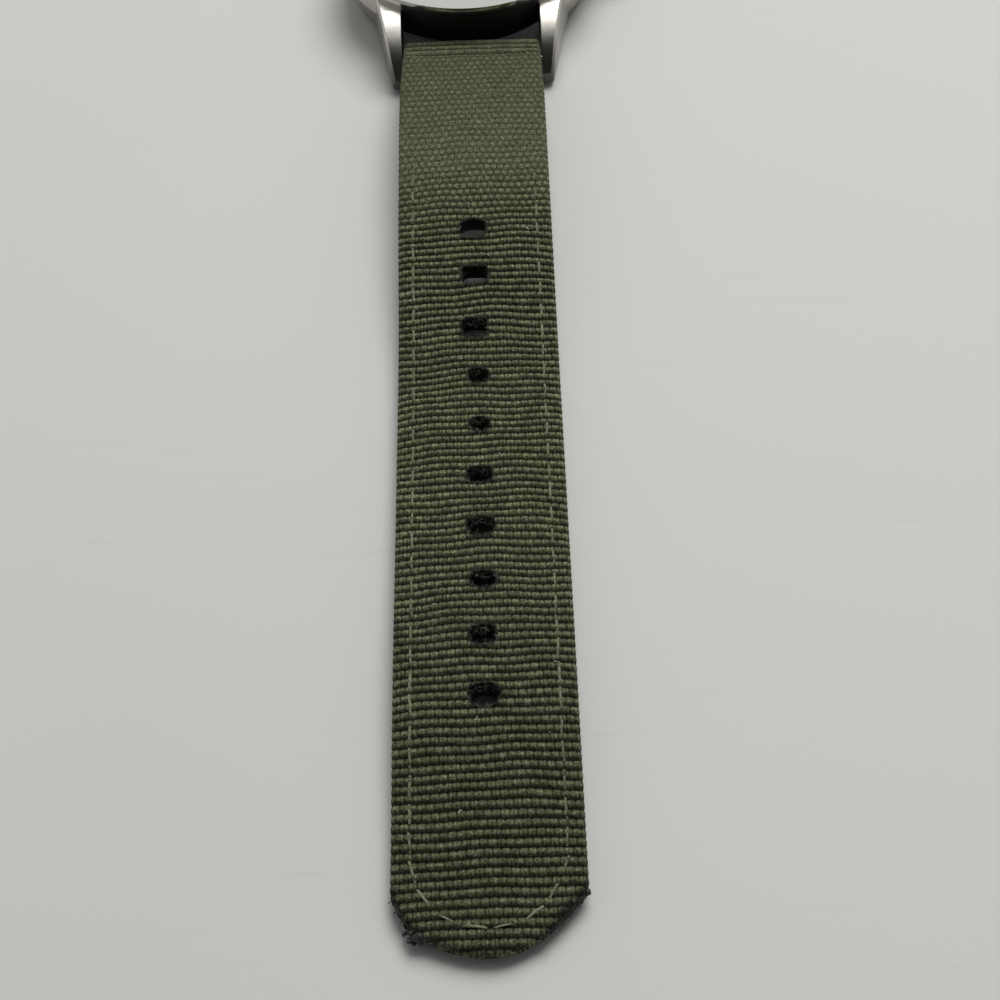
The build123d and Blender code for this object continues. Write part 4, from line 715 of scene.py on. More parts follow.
def readRoute(node, yFrom, yTo, probe, step=0.25):
    # the line along the solid's top, probed from above and run on past both ends
    solid = nodes[node].data
    tree = BVHTree.FromPolygons([v.co for v in solid.vertices], [p.vertices[:] for p in solid.polygons])
    found = []
    for y in np.linspace(yFrom, yTo, int(abs(yTo - yFrom) / step) + 1):
        hit = tree.ray_cast(Vector((probe * mm, y * mm, 0.05)), Vector((0, 0, -1)))[0]
        if hit is not None:
            found.append((y, hit.z / mm))
    line = np.array(found)
    smoothed(line[:, 1], 6)
    before, after = (line[end] + (line[end] - line[inner]) * 20 for end, inner in ((0, 1), (-1, -2)))
    line = np.vstack([before, line, after])
    s = np.concatenate([[0], np.cumsum(np.hypot(*np.diff(line, axis=0).T))])
    s -= s[1]
    tangent = np.gradient(line, s, axis=0)
    tangent /= np.linalg.norm(tangent, axis=1)[:, None]
    normal = np.stack([-tangent[:, 1], tangent[:, 0]], 1)
    normal *= np.sign(normal[:, 1])[:, None]
    return dict(s=s, line=line, normal=normal, length=s[-2])


def onRoute(route, s, x, depth):
    y, z = (np.interp(s, route["s"], route["line"][:, k]) for k in (0, 1))
    ny, nz = (np.interp(s, route["s"], route["normal"][:, k]) for k in (0, 1))
    point = np.stack([x, y - ny * depth, z - nz * depth], -1)
    return point, np.stack([0 * x, ny, nz], -1)


def routeAt(route, y):
    order = np.argsort(route["line"][:, 0])
    return float(np.interp(y, route["line"][order, 0], route["s"][order]))


def superEllipse(hole, x, s):
    # below 1 inside the hole, 1 on its rim
    across, along = np.abs((x - hole["x"]) / hole["a"]), np.abs((s - hole["s"]) / hole["b"])
    return (across ** hole["n"] + along ** hole["n"]) ** (1 / hole["n"])


def tipAt(length, inset=0.0):
    x = np.linspace(-9.4, 9.4, 189)  # a little wider than the strap
    s = smoothed(length - np.interp(x, *zip(*tipOutline)), 20)
    return dict(x=x, s=s, slope=np.gradient(s, x), inset=inset, start=s.min() - 2 * inset)


def pastTip(tip, flat):
    # how far each place lies past the cut end, and which way leads out
    slope = np.interp(flat[:, 0], tip["x"], tip["slope"])
    stretch = np.hypot(1, slope)
    away = np.stack([-slope, np.ones(len(slope))], 1) / stretch[:, None]
    return (flat[:, 1] - np.interp(flat[:, 0], tip["x"], tip["s"])) / stretch + tip["inset"], away


def wovenGrid(spec):
    # t counts ribs and q runs from edge to edge; the ribs are bowed, lean by the case and drift a little
    ribs = spec["ribs"]
    rows, columns = ribs * spec["ribSamples"] + 1, spec["beads"] * spec["beadSamples"] + 1
    t, q = np.meshgrid(np.linspace(0, ribs, rows), np.linspace(-1, 1, columns), indexing="ij")
    pitch = spec["length"] / ribs
    swell = np.sin(np.pi * np.clip(t / ribs, 0, 1))
    bow = spec["bow"] * swell ** 0.7 + spec.get("startBow", 0) * np.exp(-t / strapLook["startFade"])
    ripple = np.sin(4.6 * q + 0.19 * t + 1.0) + 0.8 * np.sin(8.3 * q - 0.33 * t) + 0.7 * np.sin(2.1 * q + 0.61 * t)
    drift = spec.get("drift", 0) * swell ** 0.5 * ripple
    lean = spec.get("startSkew", 0) * (1 - q) / 2 * np.exp(-t / strapLook["skewFade"])
    along = (t + spec.get("ridges", 0) * (1 - np.exp(-t / 2))) * pitch  # wider ribs where it turns down
    s = along - bow * (1 - q * q) + drift - lean
    return t, q, q * np.interp(s, *spec["halfAt"]), s


def gridQuads(index):
    return np.stack([index[:-1, :-1], index[:-1, 1:], index[1:, 1:], index[1:, :-1]], -1).reshape(-1, 4)


def isCloth(spec, middle):
    keep = np.ones(len(middle), bool)
    for hole in spec.get("holes", []):
        keep &= superEllipse(hole, middle[:, 0], middle[:, 1]) > 1
    if spec.get("tip"):
        keep &= pastTip(spec["tip"], middle)[0] < 0
    if spec.get("slot"):
        slotHalf, slotBack = spec["slot"]
        keep &= ~((np.abs(middle[:, 0]) < slotHalf) & (middle[:, 1] > spec["length"] - slotBack))
    return keep


def rimOf(quads, count):
    # the edges that one face alone has
    edges = np.concatenate([quads[:, [k, (k + 1) % 4]] for k in range(4)])
    key = edges.min(1).astype(np.int64) * (count + 1) + edges.max(1)
    _, first, uses = np.unique(key, return_index=True, return_counts=True)
    return edges[first[uses == 1]]


def burnHoles(spec, flat, onRim):
    # pulls the cut vertices onto each hole's ragged rim, and says how scorched every vertex is
    scorch = np.zeros(len(flat))
    for hole in spec.get("holes", []):
        value = superEllipse(hole, flat[:, 0], flat[:, 1])
        near = onRim & (value < 1.4) & (value > 0.5)
        ragged = 1 + hole["ragged"] * rng.standard_normal(near.sum())
        centre = np.array([hole["x"], hole["s"]])
        flat[near] = centre + (flat[near] - centre) / value[near, None] * ragged[:, None]
        scorch = np.maximum(scorch, np.clip((1.06 - value) / 0.05, 0, 1) * hole["scorch"])
    return scorch


def meltTip(spec, flat, onRim):
    # pulls the cut vertices onto the tip's outline, and says how melted every vertex is
    past, away = pastTip(spec["tip"], flat)
    snap = onRim & (past > -0.34) & (flat[:, 1] > spec["tip"]["start"])
    flat[snap] -= past[snap, None] * away[snap]
    widest = np.interp(flat[:, 1], *spec["halfAt"])
    x = flat[:, 0] = np.clip(flat[:, 0], -widest, widest)
    sides = [np.clip((turned - start) / over, 0, 1)
             for turned, (start, over) in ((x, meltLook["right"]), (-x, meltLook["left"]))]
    centre, width, share = meltLook["spot"]
    melted = np.clip(sides[0] + sides[1] + share * np.exp(-((x - centre) / width) ** 2), 0, 1)
    wander = 0.8 + 0.6 * np.sin(x * 2.3) * np.sin(x * 5.1) + 0.7 * np.clip(x - 5.0, 0, 1)
    return np.clip((past + meltLook["reach"] * wander) / meltLook["fade"], 0, 1) * melted


def roundEdges(spec, flat, t):
    # how close every vertex is to an edge, 0 to 1, and how deep the surface drops there
    inside = np.interp(flat[:, 1], *spec["halfAt"]) - spec["edgeRound"]
    edge = np.clip((np.abs(flat[:, 0]) - inside) / spec["edgeRound"], 0, 1)
    drop = spec["edgeDrop"] * edge ** 2.2
    if spec.get("tip"):
        tipEdge = np.clip((pastTip(spec["tip"], flat)[0] + spec["tipRound"]) / spec["tipRound"], 0, 1)
        edge = np.maximum(edge, tipEdge ** 2)
        drop = np.maximum(drop, spec["tipDrop"] * tipEdge ** 2.6)
    ribWave = np.abs(np.sin(np.pi * t)) ** 0.6
    flat[:, 0] -= np.sign(flat[:, 0]) * spec["scallop"] * edge * (1 - ribWave)
    if "groove" in spec:
        rib, width, depth, half = spec["groove"]
        drop = drop + depth * np.exp(-((t - rib) / width) ** 2) * (np.abs(flat[:, 0]) < half)
    return edge, drop


def closeShell(mesh, isBand):
    shell = bmesh.new()
    shell.from_mesh(mesh)
    openEdges = [edge for edge in shell.edges if edge.is_boundary]
    if isBand:
        bmesh.ops.bridge_loops(shell, edges=openEdges)
    else:
        bmesh.ops.triangle_fill(shell, edges=openEdges, use_beauty=True)
    bmesh.ops.recalc_face_normals(shell, faces=shell.faces)
    for face in shell.faces:
        face.smooth = True
    shell.to_mesh(mesh)
    shell.free()


def clothShell(name, place, spec):
    # a sheet of cloth with thickness: a fine grid on the seen side, a rounded rim and a plain far side
    t, q, x, s = wovenGrid(spec)
    index = np.arange(t.size).reshape(t.shape)
    isBand = spec.get("isBand", False)
    if isBand:
        index[-1] = index[0]
    quads = gridQuads(index)
    middle = np.stack([(x[:-1, :-1] + x[1:, 1:]) / 2, (s[:-1, :-1] + s[1:, 1:]) / 2], -1).reshape(-1, 2)
    used, quads = np.unique(quads[isCloth(spec, middle)], return_inverse=True)
    quads = quads.reshape(-1, 4)
    flat = np.stack([x.ravel(), s.ravel()], -1)[used]
    t, bead = t.ravel()[used], (q.ravel()[used] + 1) / 2 * spec["beads"]
    rim = rimOf(quads, len(flat))
    onRim = np.zeros(len(flat), bool)
    onRim[rim.ravel()] = True
    scorch = burnHoles(spec, flat, onRim)
    if spec.get("tip"):
        scorch = np.maximum(scorch, meltTip(spec, flat, onRim))
    edge, drop = roundEdges(spec, flat, t)

    # the lining is built upwards from the stack's far side
    side, top = (-1, spec["stack"]) if spec.get("flip") else (1, 0.0)
    rimVertices = np.unique(rim)
    ring = np.searchsorted(rimVertices, rim)
    surface, outward = place(flat[:, 1], flat[:, 0], top + side * drop)
    points, walls = surface, [rim]
    for share, below, bulge in ((0.7, 0.18, 0.6), (1.0, 0.28, 0.0)):
        depth = np.maximum(drop[rimVertices] + below, spec["thickness"] * share)
        rimX, rimS = flat[rimVertices].T
        rimX = rimX + np.sign(rimX) * edge[rimVertices] * spec["scallop"] * bulge
        walls.append(len(points) + ring)
        points = np.concatenate([points, place(rimS, rimX, top + side * depth)[0]])
    faces = quads.tolist()
    for upper, lower in zip(walls, walls[1:]):
        faces += np.column_stack([upper[:, ::-1], lower]).tolist()
    mesh = bpy.data.meshes.new(name)
    mesh.from_pydata((points * mm).tolist(), [], faces)
    closeShell(mesh, isBand)
    assert len(mesh.vertices) == len(points), name

    def withRim(values):
        return np.concatenate([values, values[rimVertices], values[rimVertices]])

    extra = len(points) - len(flat)
    rimScorch = np.clip(scorch[rimVertices] * 1.6, 0, 1)
    fields = {
        "cloth": np.column_stack([withRim(flat), np.repeat([0.0, spec["thickness"]], [len(flat), extra])]),
        "weave": np.column_stack([withRim(t), withRim(bead), np.interp(withRim(t), *spec["ribPower"])]),
        "outward": np.concatenate([outward * side * (1 - 0.6 * edge[:, None]), np.zeros((extra, 3))]),
        "scorch": np.concatenate([scorch, rimScorch, rimScorch]),
    }
    for label, values in fields.items():
        kind, slot = ("FLOAT_VECTOR", "vector") if values.ndim == 2 else ("FLOAT", "value")
        mesh.attributes.new(label, kind, "POINT").data.foreach_set(slot, values.astype(np.float32).ravel())
    return mesh


def lineMesh(name, lines):
    points, edges = [], []
    for line in lines:
        edges += [(len(points) + k, len(points) + k + 1) for k in range(len(line) - 1)]
        points += [tuple(p * mm for p in point) for point in line]
    mesh = bpy.data.meshes.new(name)
    mesh.from_pydata(points, edges, [])
    return mesh


def settle(piece, body, stands=()):
    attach(piece, body)
    if stands:
        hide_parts(*stands)


def barLoop(bar, steps=48, across=16):
    # the sleeve of lining that goes round a spring bar, as a closed tube, split in two where the tongue passes;
    # by the case its slack stands up behind the webbing's end, most at the two sides
    half, (steep, gentle), (rise, sideRise, lean) = liningLook["loopHalf"], liningLook["loopLobe"], bar["slack"]
    spans = [(-half, -bar["gap"]), (bar["gap"], half)] if bar["gap"] else [(-half, half)]
    points, faces = [], []
    for low, high in spans:
        base = len(points)
        for x in np.linspace(low, high, across + 1):
            slack = rise + sideRise * (abs(x) / half) ** 2
            leant = lean * (1 - x / half) / 2
            for radius in (bar["outer"], liningLook["loopInner"]):
                for k in range(steps):
                    angle = 2 * math.pi * k / steps
                    off = (math.degrees(angle) + 90) % 360 - 135 + leant
                    lobe = math.exp(-(off / (steep if off > 0 else gentle)) ** 2) if radius == bar["outer"] else 0
                    reach = radius + slack * lobe
                    y = bar["y"] - math.copysign(reach, bar["y"]) * math.cos(angle)
                    points.append((x, y, bar["z"] + reach * math.sin(angle)))

        def at(i, ring, k):
            return base + (i * 2 + ring) * steps + k % steps

        for i in range(across):
            for k in range(steps):
                faces.append((at(i, 0, k), at(i, 0, k + 1), at(i + 1, 0, k + 1), at(i + 1, 0, k)))
                faces.append((at(i, 1, k + 1), at(i, 1, k), at(i + 1, 1, k), at(i + 1, 1, k + 1)))
        for k in range(steps):
            faces.append((at(0, 0, k + 1), at(0, 0, k), at(0, 1, k), at(0, 1, k + 1)))
            faces.append((at(across, 0, k), at(across, 0, k + 1), at(across, 1, k + 1), at(across, 1, k)))
    return points, faces


def addLoops(mesh, bars):
    shell = bmesh.new()
    shell.from_mesh(mesh)
    cloth = shell.verts.layers.float_vector["cloth"]
    for points, faces in map(barLoop, bars):
        made = [shell.verts.new([c * mm for c in p]) for p in points]
        for vertex, p in zip(made, points):
            vertex[cloth] = (p[0], p[1] + p[2], 0)
        for face in faces:
            shell.faces.new([made[k] for k in face]).smooth = True
    bmesh.ops.recalc_face_normals(shell, faces=shell.faces)
    shell.to_mesh(mesh)
    shell.free()


def strapHalf(prefix, body, spec):
    look, under = strapLook, liningLook
    route = readRoute(prefix + "_webbing", *spec["ends"], probe=3.0)
    length = route["length"]
    shared = dict(look, length=length, stack=look["stackThickness"], halfAt=halfAt, slot=spec.get("slot"))
    holes = [dict(x=x, s=routeAt(route, y) + shift, a=a, b=b, n=n, ragged=tailHoles["ragged"],
                  scorch=tailHoles["scorch"])
             for y, (x, shift, a, b, n) in zip(spec.get("holes", []), tailHoles["cuts"])]
    cover = dict(shared, ribs=round(length / look["ribPitch"]), ribSamples=spec["ribSamples"], beadSamples=6,
                 thickness=look["webbingThickness"], startSkew=spec["startSkew"], ridges=spec["ridges"],
                 tip=tipAt(length) if spec["hasTip"] else None, holes=holes, ribPower=spec["firmness"],
                 groove=(spec["seamRib"], spec["seamWidth"], look["grooveDepth"], look["grooveHalf"]))
    cloth = clothShell(prefix + "Webbing", lambda s, x, depth: onRoute(route, s, x, depth), cover)
    piece = runTree(prefix + "Webbing", ribbedWeave, cloth, webbing, RibDepth=look["ribDepth"],
                    BeadDepth=look["beadDepth"], Unevenness=look["unevenness"], PlainRibs=spec["plainRibs"])
    settle(piece, body, [prefix + "_webbing"])

    def liningPlace(s, x, depth):
        point, outward = onRoute(route, s, x, depth)
        for bar in spec["bars"]:  # the sheet stays out of the spring bar's bore
            centre = np.array([bar["y"], bar["z"]])
            away = point[..., 1:] - centre
            far = np.hypot(away[..., 0], away[..., 1])
            pushed = away / np.maximum(far, 0.05)[..., None] * under["barRoom"] + centre
            point[..., 1:] = np.where((far < under["barRoom"])[..., None], pushed, point[..., 1:])
        return point, outward

    # painted shade: all but the first of the lining's holes are cut narrower than the webbing's and fully scorched,
    # so the dark lining fills part of each hole where the table would show through; the lining and its melted rims
    # are real
    burnt = [under["firstHole"]] + [under["holes"]] * (len(holes) - 1)
    sheet = clothShell(prefix + "Lining", liningPlace, dict(
        shared, ribs=round(length / under["ribPitch"]), beads=under["columns"], ribSamples=1, beadSamples=1, bow=0.0,
        startBow=0.0, drift=0.0, scallop=0.0, edgeDrop=under["edgeDrop"], tipDrop=under["tipDrop"], flip=True,
        thickness=look["stackThickness"] - look["webbingThickness"] - 0.01, ribPower=([0, 1], [0, 0]),
        tip=tipAt(length, under["tipInset"]) if spec["hasTip"] else None,
        holes=[dict(hole, a=hole["a"] * a, b=hole["b"] * b, ragged=under["ragged"], scorch=1.0)
               for hole, (a, b) in zip(holes, burnt)]))
    addLoops(sheet, spec["bars"])
    relief = sheet.attributes.new("relief", "FLOAT", "POINT")
    relief.data.foreach_set("value", np.full(len(sheet.vertices), 0.9, np.float32))
    settle(newPiece(prefix + "Lining", sheet, lining), body, [prefix + "_lining"])
    print(prefix, "strap half:", len(piece.data.polygons), "faces,", round(length, 1), "mm along the top")
    return route, holes


def rowAcross(s, half, count):
    return np.stack([np.linspace(-half, half, count), np.full(count, s)], 1)


def seamLines(route, spec):
    # a row along each side, joined round the tip or ended by a row before the buckle, and one across by the case
    look, length = seamLook, route["length"]
    last = length - (seamArc[0][1] if spec["hasTip"] else spec["seamBack"])
    s = np.arange(look["cross"], last, look["step"])
    inner = np.interp(s, *halfAt) - look["inset"]
    down, up = np.stack([-inner, s], 1), np.stack([inner, s], 1)[::-1]
    rows = [down, up, rowAcross(last, look["endHalf"], 20)]
    if spec["hasTip"]:
        x = np.linspace(seamArc[0][0], seamArc[-1][0], 40)
        setback = smoothed(np.interp(x, *zip(*seamArc)), 4)
        rows = [np.concatenate([down, np.stack([x, length - setback], 1), up])]
    lines = [onRoute(route, row[:, 1], row[:, 0], np.interp(row[:, 1], *look["sunkAt"]))[0] for row in rows]
    x, s = rowAcross(look["cross"], look["crossHalf"], 30).T  # the row across follows the ribs there
    bow = strapLook["bow"] * np.sin(np.pi * np.clip(s / length, 0, 1)) ** 0.7 * (1 - (x / 9) ** 2)
    lean = spec["startSkew"] * (1 - x / 8.8) / 2 * math.exp(-spec["seamRib"] / strapLook["skewFade"])
    return lines + [onRoute(route, s - (bow + lean), x, np.full(len(s), look["crossSunk"]))[0]]


halfAt = ([0, strapLook["taper"], 200], [strapLook["endHalf"], strapLook["fullHalf"], strapLook["fullHalf"]])
barY, barZ = 20.3996, 2.4
firstHole = -(barY + tailHoles["first"])
tailLow, tailHigh = (corner.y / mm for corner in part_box("tail_webbing"))
headLow, headHigh = (corner.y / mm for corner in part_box("buckle_webbing"))
# firmness is how proud the ribs stand, by their number; a bar's slack is its rise, more at the sides, and lean
tailSpec = dict(
    ends=(tailHigh - 0.05, tailLow + 0.01), ribSamples=5, startSkew=1.35, ridges=3.0, plainRibs=3.0, seamRib=3.1,
    seamWidth=0.35, firmness=([0, 2.7, 3.7, 24.5, 36.5], [0.9, 0.9, 0.2, 0.3, 1.0]), hasTip=True,
    holes=[firstHole - n * tailHoles["pitch"] for n in range(len(tailHoles["cuts"]))],
    bars=[dict(y=-barY, z=barZ, outer=2.16, gap=0, slack=(0.3, 2.2, 11))])
headSpec = dict(
    ends=(headLow + 0.05, headHigh - 0.01), ribSamples=4, startSkew=0, ridges=0, plainRibs=5.0,
    seamRib=seamLook["cross"] / strapLook["ribPitch"], seamWidth=0.5,
    firmness=([0, 4.9, 6.3, 26, 36], [0.6, 0.6, 0.3, 0.5, 0.9]), hasTip=False, slot=(1.45, 8.7), seamBack=10.5,
    bars=[dict(y=barY, z=barZ, outer=2.16, gap=0, slack=(0.1, 0.7, 0)),
          dict(y=barY + 72.0, z=1.75, outer=1.22, gap=1.45, slack=(0, 0, 0))])
tailRoute, holes = strapHalf("tail", "tail_strap", tailSpec)
headRoute, _ = strapHalf("buckle", "buckle_strap", headSpec)
tailTip = tipAt(tailRoute["length"])

stitchLook = dict(Pitch=2.8, Length=2.1, Thickness=0.27, Arch=0.22, Turn=0.07, Spread=0.14)
for name, body, route, spec, seed in (("tailStitches", "tail_strap", tailRoute, tailSpec, 4),
                                      ("buckleStitches", "buckle_strap", headRoute, headSpec, 9)):
    seam = lineMesh(name + "Lines", seamLines(route, spec))
    settle(runTree(name, seamStitches, seam, thread, Seed=seed, **stitchLook), body)


# keepers: bands of the same webbing, their ribs across the band

keeperLook = dict(corner=1.3, beads=9, ribSamples=5, beadSamples=5, bow=0.0, isBand=True, thickness=0.78, stack=0,
                  edgeRound=0.35, edgeDrop=0.25, scallop=0.06)
keeperWeave = dict(RibDepth=0.22, BeadDepth=0.12, Unevenness=0.05, PlainRibs=0.0)


def keeperBand(name, node, body):
    low, high = (np.array(corner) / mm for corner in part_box(node))
    corner = keeperLook["corner"]
    (halfX, half, halfZ), (_, centreY, middleZ) = (high - low) / 2, (high + low) / 2
    outline = []
    for quarter, (cx, cz) in enumerate(((1, 1), (-1, 1), (-1, -1), (1, -1))):
        for k in range(9):
            angle = math.radians(90 * quarter + k * 90 / 8)
            outline.append((cx * (halfX - corner) + corner * math.cos(angle),
                            middleZ + cz * (halfZ - corner) + corner * math.sin(angle)))
    ring = np.array(outline + outline[:1])
    s = np.concatenate([[0], np.cumsum(np.hypot(*np.diff(ring, axis=0).T))])
    around = s[-1]
    dense = np.linspace(0, around, 400)
    line = np.stack([np.interp(dense, s, ring[:, k]) for k in (0, 1)], 1)
    tangent = np.roll(line[:-1], -1, 0) - np.roll(line[:-1], 1, 0)
    tangent = np.vstack([tangent, tangent[:1]])
    tangent /= np.linalg.norm(tangent, axis=1)[:, None]
    normal = np.stack([tangent[:, 1], -tangent[:, 0]], 1)

    def place(s, across, depth):
        s = np.mod(s, around)
        px, pz = (np.interp(s, dense, line[:, k]) for k in (0, 1))
        nx, nz = (np.interp(s, dense, normal[:, k]) for k in (0, 1))
        return np.stack([px - nx * depth, centreY + across, pz - nz * depth], -1), np.stack([nx, 0 * nx, nz], -1)

    ribs = round(around / strapLook["ribPitch"])
    spec = dict(keeperLook, length=around, ribs=ribs, halfAt=([0, around], [half, half]),
                ribPower=([0, ribs], [0.8, 0.8]))
    band = clothShell(name, place, spec)
    settle(runTree(name, ribbedWeave, band, keeperCloth, **keeperWeave), body, [node])


keeperBand("fixedKeeperBand", "fixed_keeper", "buckle_strap")
keeperBand("freeKeeperBand", "free_keeper", "free_keeper")
print("keepers made")


# fuzz round the holes and along the tip, beads of melted yarn, and stray lint

def tailLine(s, x, depth):
    return onRoute(tailRoute, s, x, np.full(len(x), depth))[0]


def rimLines():
    lines = []
    for hole in holes:
        angles = np.linspace(0, 2 * math.pi, 41)
        cx, cs = (np.sign(c) * np.abs(c) ** (2 / hole["n"]) for c in (np.cos(angles), np.sin(angles)))
        lines.append(tailLine(hole["s"] + hole["b"] * cs, hole["x"] + hole["a"] * cx, 0.06))
    return lines


def strandLines():
    # loose ends that reach over all holes but the first two, most of them from the upper rim
    lines = []
    for number, hole in list(enumerate(holes))[2:]:
        for level, depth in ((-0.78, 0.3), (-0.55, 0.55), (0.62, 0.7)):
            x = hole["x"] + hole["a"] * np.linspace(-0.7, 0.75, 5)
            s = hole["s"] + hole["b"] * (level + 0.12 * np.sin(3.1 * x + number))
            lines.append(tailLine(s, x, depth))
    return lines


def tipLines(depth, *spans):
    return [tailLine(np.interp(x, tailTip["x"], tailTip["s"]) - 0.15, x, depth)
            for x in (np.linspace(low, high, 40) for low, high in spans)]


def meshFrom(shell, name):
    mesh = bpy.data.meshes.new(name)
    shell.to_mesh(mesh)
    shell.free()
    return mesh


def meltedBeads(name, places, seed):
    # fused beads of melted yarn: x, y, z and radius of each
    chance = np.random.default_rng(seed)
    shell = bmesh.new()
    for x, y, z, size in places:
        made = bmesh.ops.create_icosphere(shell, subdivisions=3, radius=size * mm)["verts"]
        waves = chance.normal(0, 1, (4, 3)) * 2.6 / size
        phases = chance.uniform(0, 6.28, 4)
        for vertex in made:
            away = np.array(vertex.co) / mm
            bump = 1 + 0.24 * sum(math.sin(float(away @ w) + p) for w, p in zip(waves, phases))
            vertex.co = Vector((x * mm, y * mm, z * mm)) + vertex.co * bump
            vertex.co.z = max(vertex.co.z, 0.02 * mm)
    for face in shell.faces:
        face.smooth = True
    return newPiece(name, meshFrom(shell, name), char)


def topSheet():
    # a coarse copy of the strap's top for scattering lint
    s, x = np.meshgrid(np.linspace(8, tailRoute["length"] - 8, 40), np.linspace(-8.2, 8.2, 5), indexing="ij")
    points = tailLine(s.ravel(), x.ravel(), -0.02)
    mesh = bpy.data.meshes.new("topSheet")
    mesh.from_pydata((points * mm).tolist(), [], gridQuads(np.arange(s.size).reshape(s.shape)).tolist())
    return mesh


fuzzInputs = ("Pitch", "Length", "Thickness", "Arch", "Turn", "Spread", "Seed")
for name, lines, skin, *values in (
        ("holeFuzz", rimLines(), fuzz, 0.09, 0.6, 0.045, 0.08, 1.5, 0.5, 21),
        ("holeStrands", strandLines(), fuzz, 0.16, 0.75, 0.05, 0.1, 1.4, 0.5, 24),
        ("tipFuzz", tipLines(0.75, (-8.7, 8.7)), thread, 0.2, 0.7, 0.04, 0.08, 1.4, 0.5, 22),
        ("scorchFuzz", tipLines(0.6, (-8.8, -4.8), (4.6, 8.8)), char, 0.07, 0.6, 0.06, 0.1, 1.5, 0.6, 23)):
    source = lineMesh(name + "Lines", lines)
    settle(runTree(name, edgeFibres, source, skin, **dict(zip(fuzzInputs, values))), "tail_strap")
cornerLump = [(-7.0, -138.6, 1.4, 0.36), (-6.5, -138.9, 1.5, 0.4), (-6.1, -139.2, 1.3, 0.3), (-6.8, -139.2, 1.0, 0.3),
              (-7.6, -138.4, 1.1, 0.26), (-7.2, -139.1, 1.2, 0.24), (-6.3, -138.4, 1.7, 0.22)]
settle(meltedBeads("charredTip", cornerLump, 8), "tail_strap")
rimBeads = []
for x, depth, size in ((8.7, 0.7, 0.3), (8.2, 0.9, 0.22), (7.3, 0.8, 0.2), (6.2, 0.85, 0.18), (5.2, 0.9, 0.16),
                       (-8.6, 0.9, 0.22), (-8.1, 0.8, 0.24), (-7.5, 0.9, 0.22), (-0.3, 0.8, 0.14)):
    spot = tailLine(np.interp([x], tailTip["x"], tailTip["s"]) - 0.25, np.array([x]), depth)[0]
    rimBeads.append((*spot, size))
settle(meltedBeads("meltedRim", rimBeads, 9), "tail_strap")
settle(runTree("strapLint", strayFibres, topSheet(), lint, Density=16000.0, Length=0.3, Thickness=0.07, Seed=31),
       "tail_strap")
print("strap details made")


# the dial: generic numerals, a minute track and lume marks

dialLook = dict(level=7.216, markHeight=0.03, numeralDepth=0.015, numerals=(10.3, 2.8), innerNumerals=(7.2, 1.25),
                trackRadius=12.8, pipRadius=12.0)
marksLook = {
    "minuteMarks": dict(Count=60, Every=1, LeftOut=5, Radius=dialLook["trackRadius"], Length=0.7, Width=0.13),
    "fiveMinuteMarks": dict(Count=60, Every=5, LeftOut=0, Radius=dialLook["trackRadius"], Length=0.8, Width=0.34),
    "lumeMarks": dict(Count=12, Every=1, LeftOut=0, Radius=dialLook["pipRadius"], Length=0.55, Width=0.5),
}


def numeralRing(name, first, radius, size):
    # twelve numerals, each centred on its hour
    gathered = bmesh.new()
    for hour in range(1, 13):
        curve = bpy.data.curves.new("numeral", "FONT")
        curve.body, curve.size, curve.align_x, curve.align_y = str(first + hour), size * mm, "CENTER", "CENTER"
        curve.extrude, curve.resolution_u = dialLook["numeralDepth"] * mm, 4
        holder = newPiece("numeral", curve)
        graph = bpy.context.evaluated_depsgraph_get()
        flat = bpy.data.meshes.new_from_object(holder.evaluated_get(graph))
        corners = np.array([v.co[:] for v in flat.vertices])
        middle = (corners.max(0) + corners.min(0)) / 2
        angle = math.radians(90 - hour * 30)
        spot = Vector((radius * mm * math.cos(angle), radius * mm * math.sin(angle), dialLook["level"] * mm))
        flat.transform(Matrix.Translation(spot - Vector((middle[0], middle[1], 0))))
        gathered.from_mesh(flat)
        bpy.data.objects.remove(holder)
        bpy.data.meshes.remove(flat)
    bmesh.ops.remove_doubles(gathered, verts=gathered.verts, dist=1e-7)
    settle(newPiece(name, meshFrom(gathered, name), skins["hand_paint"]), "case")


numeralRing("hourNumerals", 0, *dialLook["numerals"])
numeralRing("innerNumerals", 12, *dialLook["innerNumerals"])
empty = bpy.data.meshes.new("nothing")
for name, values in marksLook.items():
    skin = skins["lume" if name == "lumeMarks" else "hand_paint"]
    marks = runTree(name, marksRound, empty.copy(), skin, Height=dialLook["markHeight"], Level=dialLook["level"],
                    **values)
    settle(marks, "case")
print("dial made")


# table, light and camera

stageLook = dict(size=4.0, color=(0.63, 0.637, 0.612), worn=(0.42, 0.42, 0.42, 1), world=0.42,
                 air=(0.98, 0.99, 1.0, 1), mirrored=(0.86, 0.87, 0.86, 1), mirroredStrength=0.8, lampPower=12.2,
                 lampSize=0.9, lampColor=(1.0, 0.985, 0.96), lampAt=(0.27, 0.58, 1.0), lampAim=(0, -0.08, 0),
                 flagAt=(0.0, -0.46, 0.43), flagSize=(0.9, 0.95), flagAim=(0, 0, 0.005))
cameraLook = dict(yaw=-2.47, pitch=53.23, roll=-4.68, lens=61.25, sensor=36, place=(6.562, -198.396, 145.397))


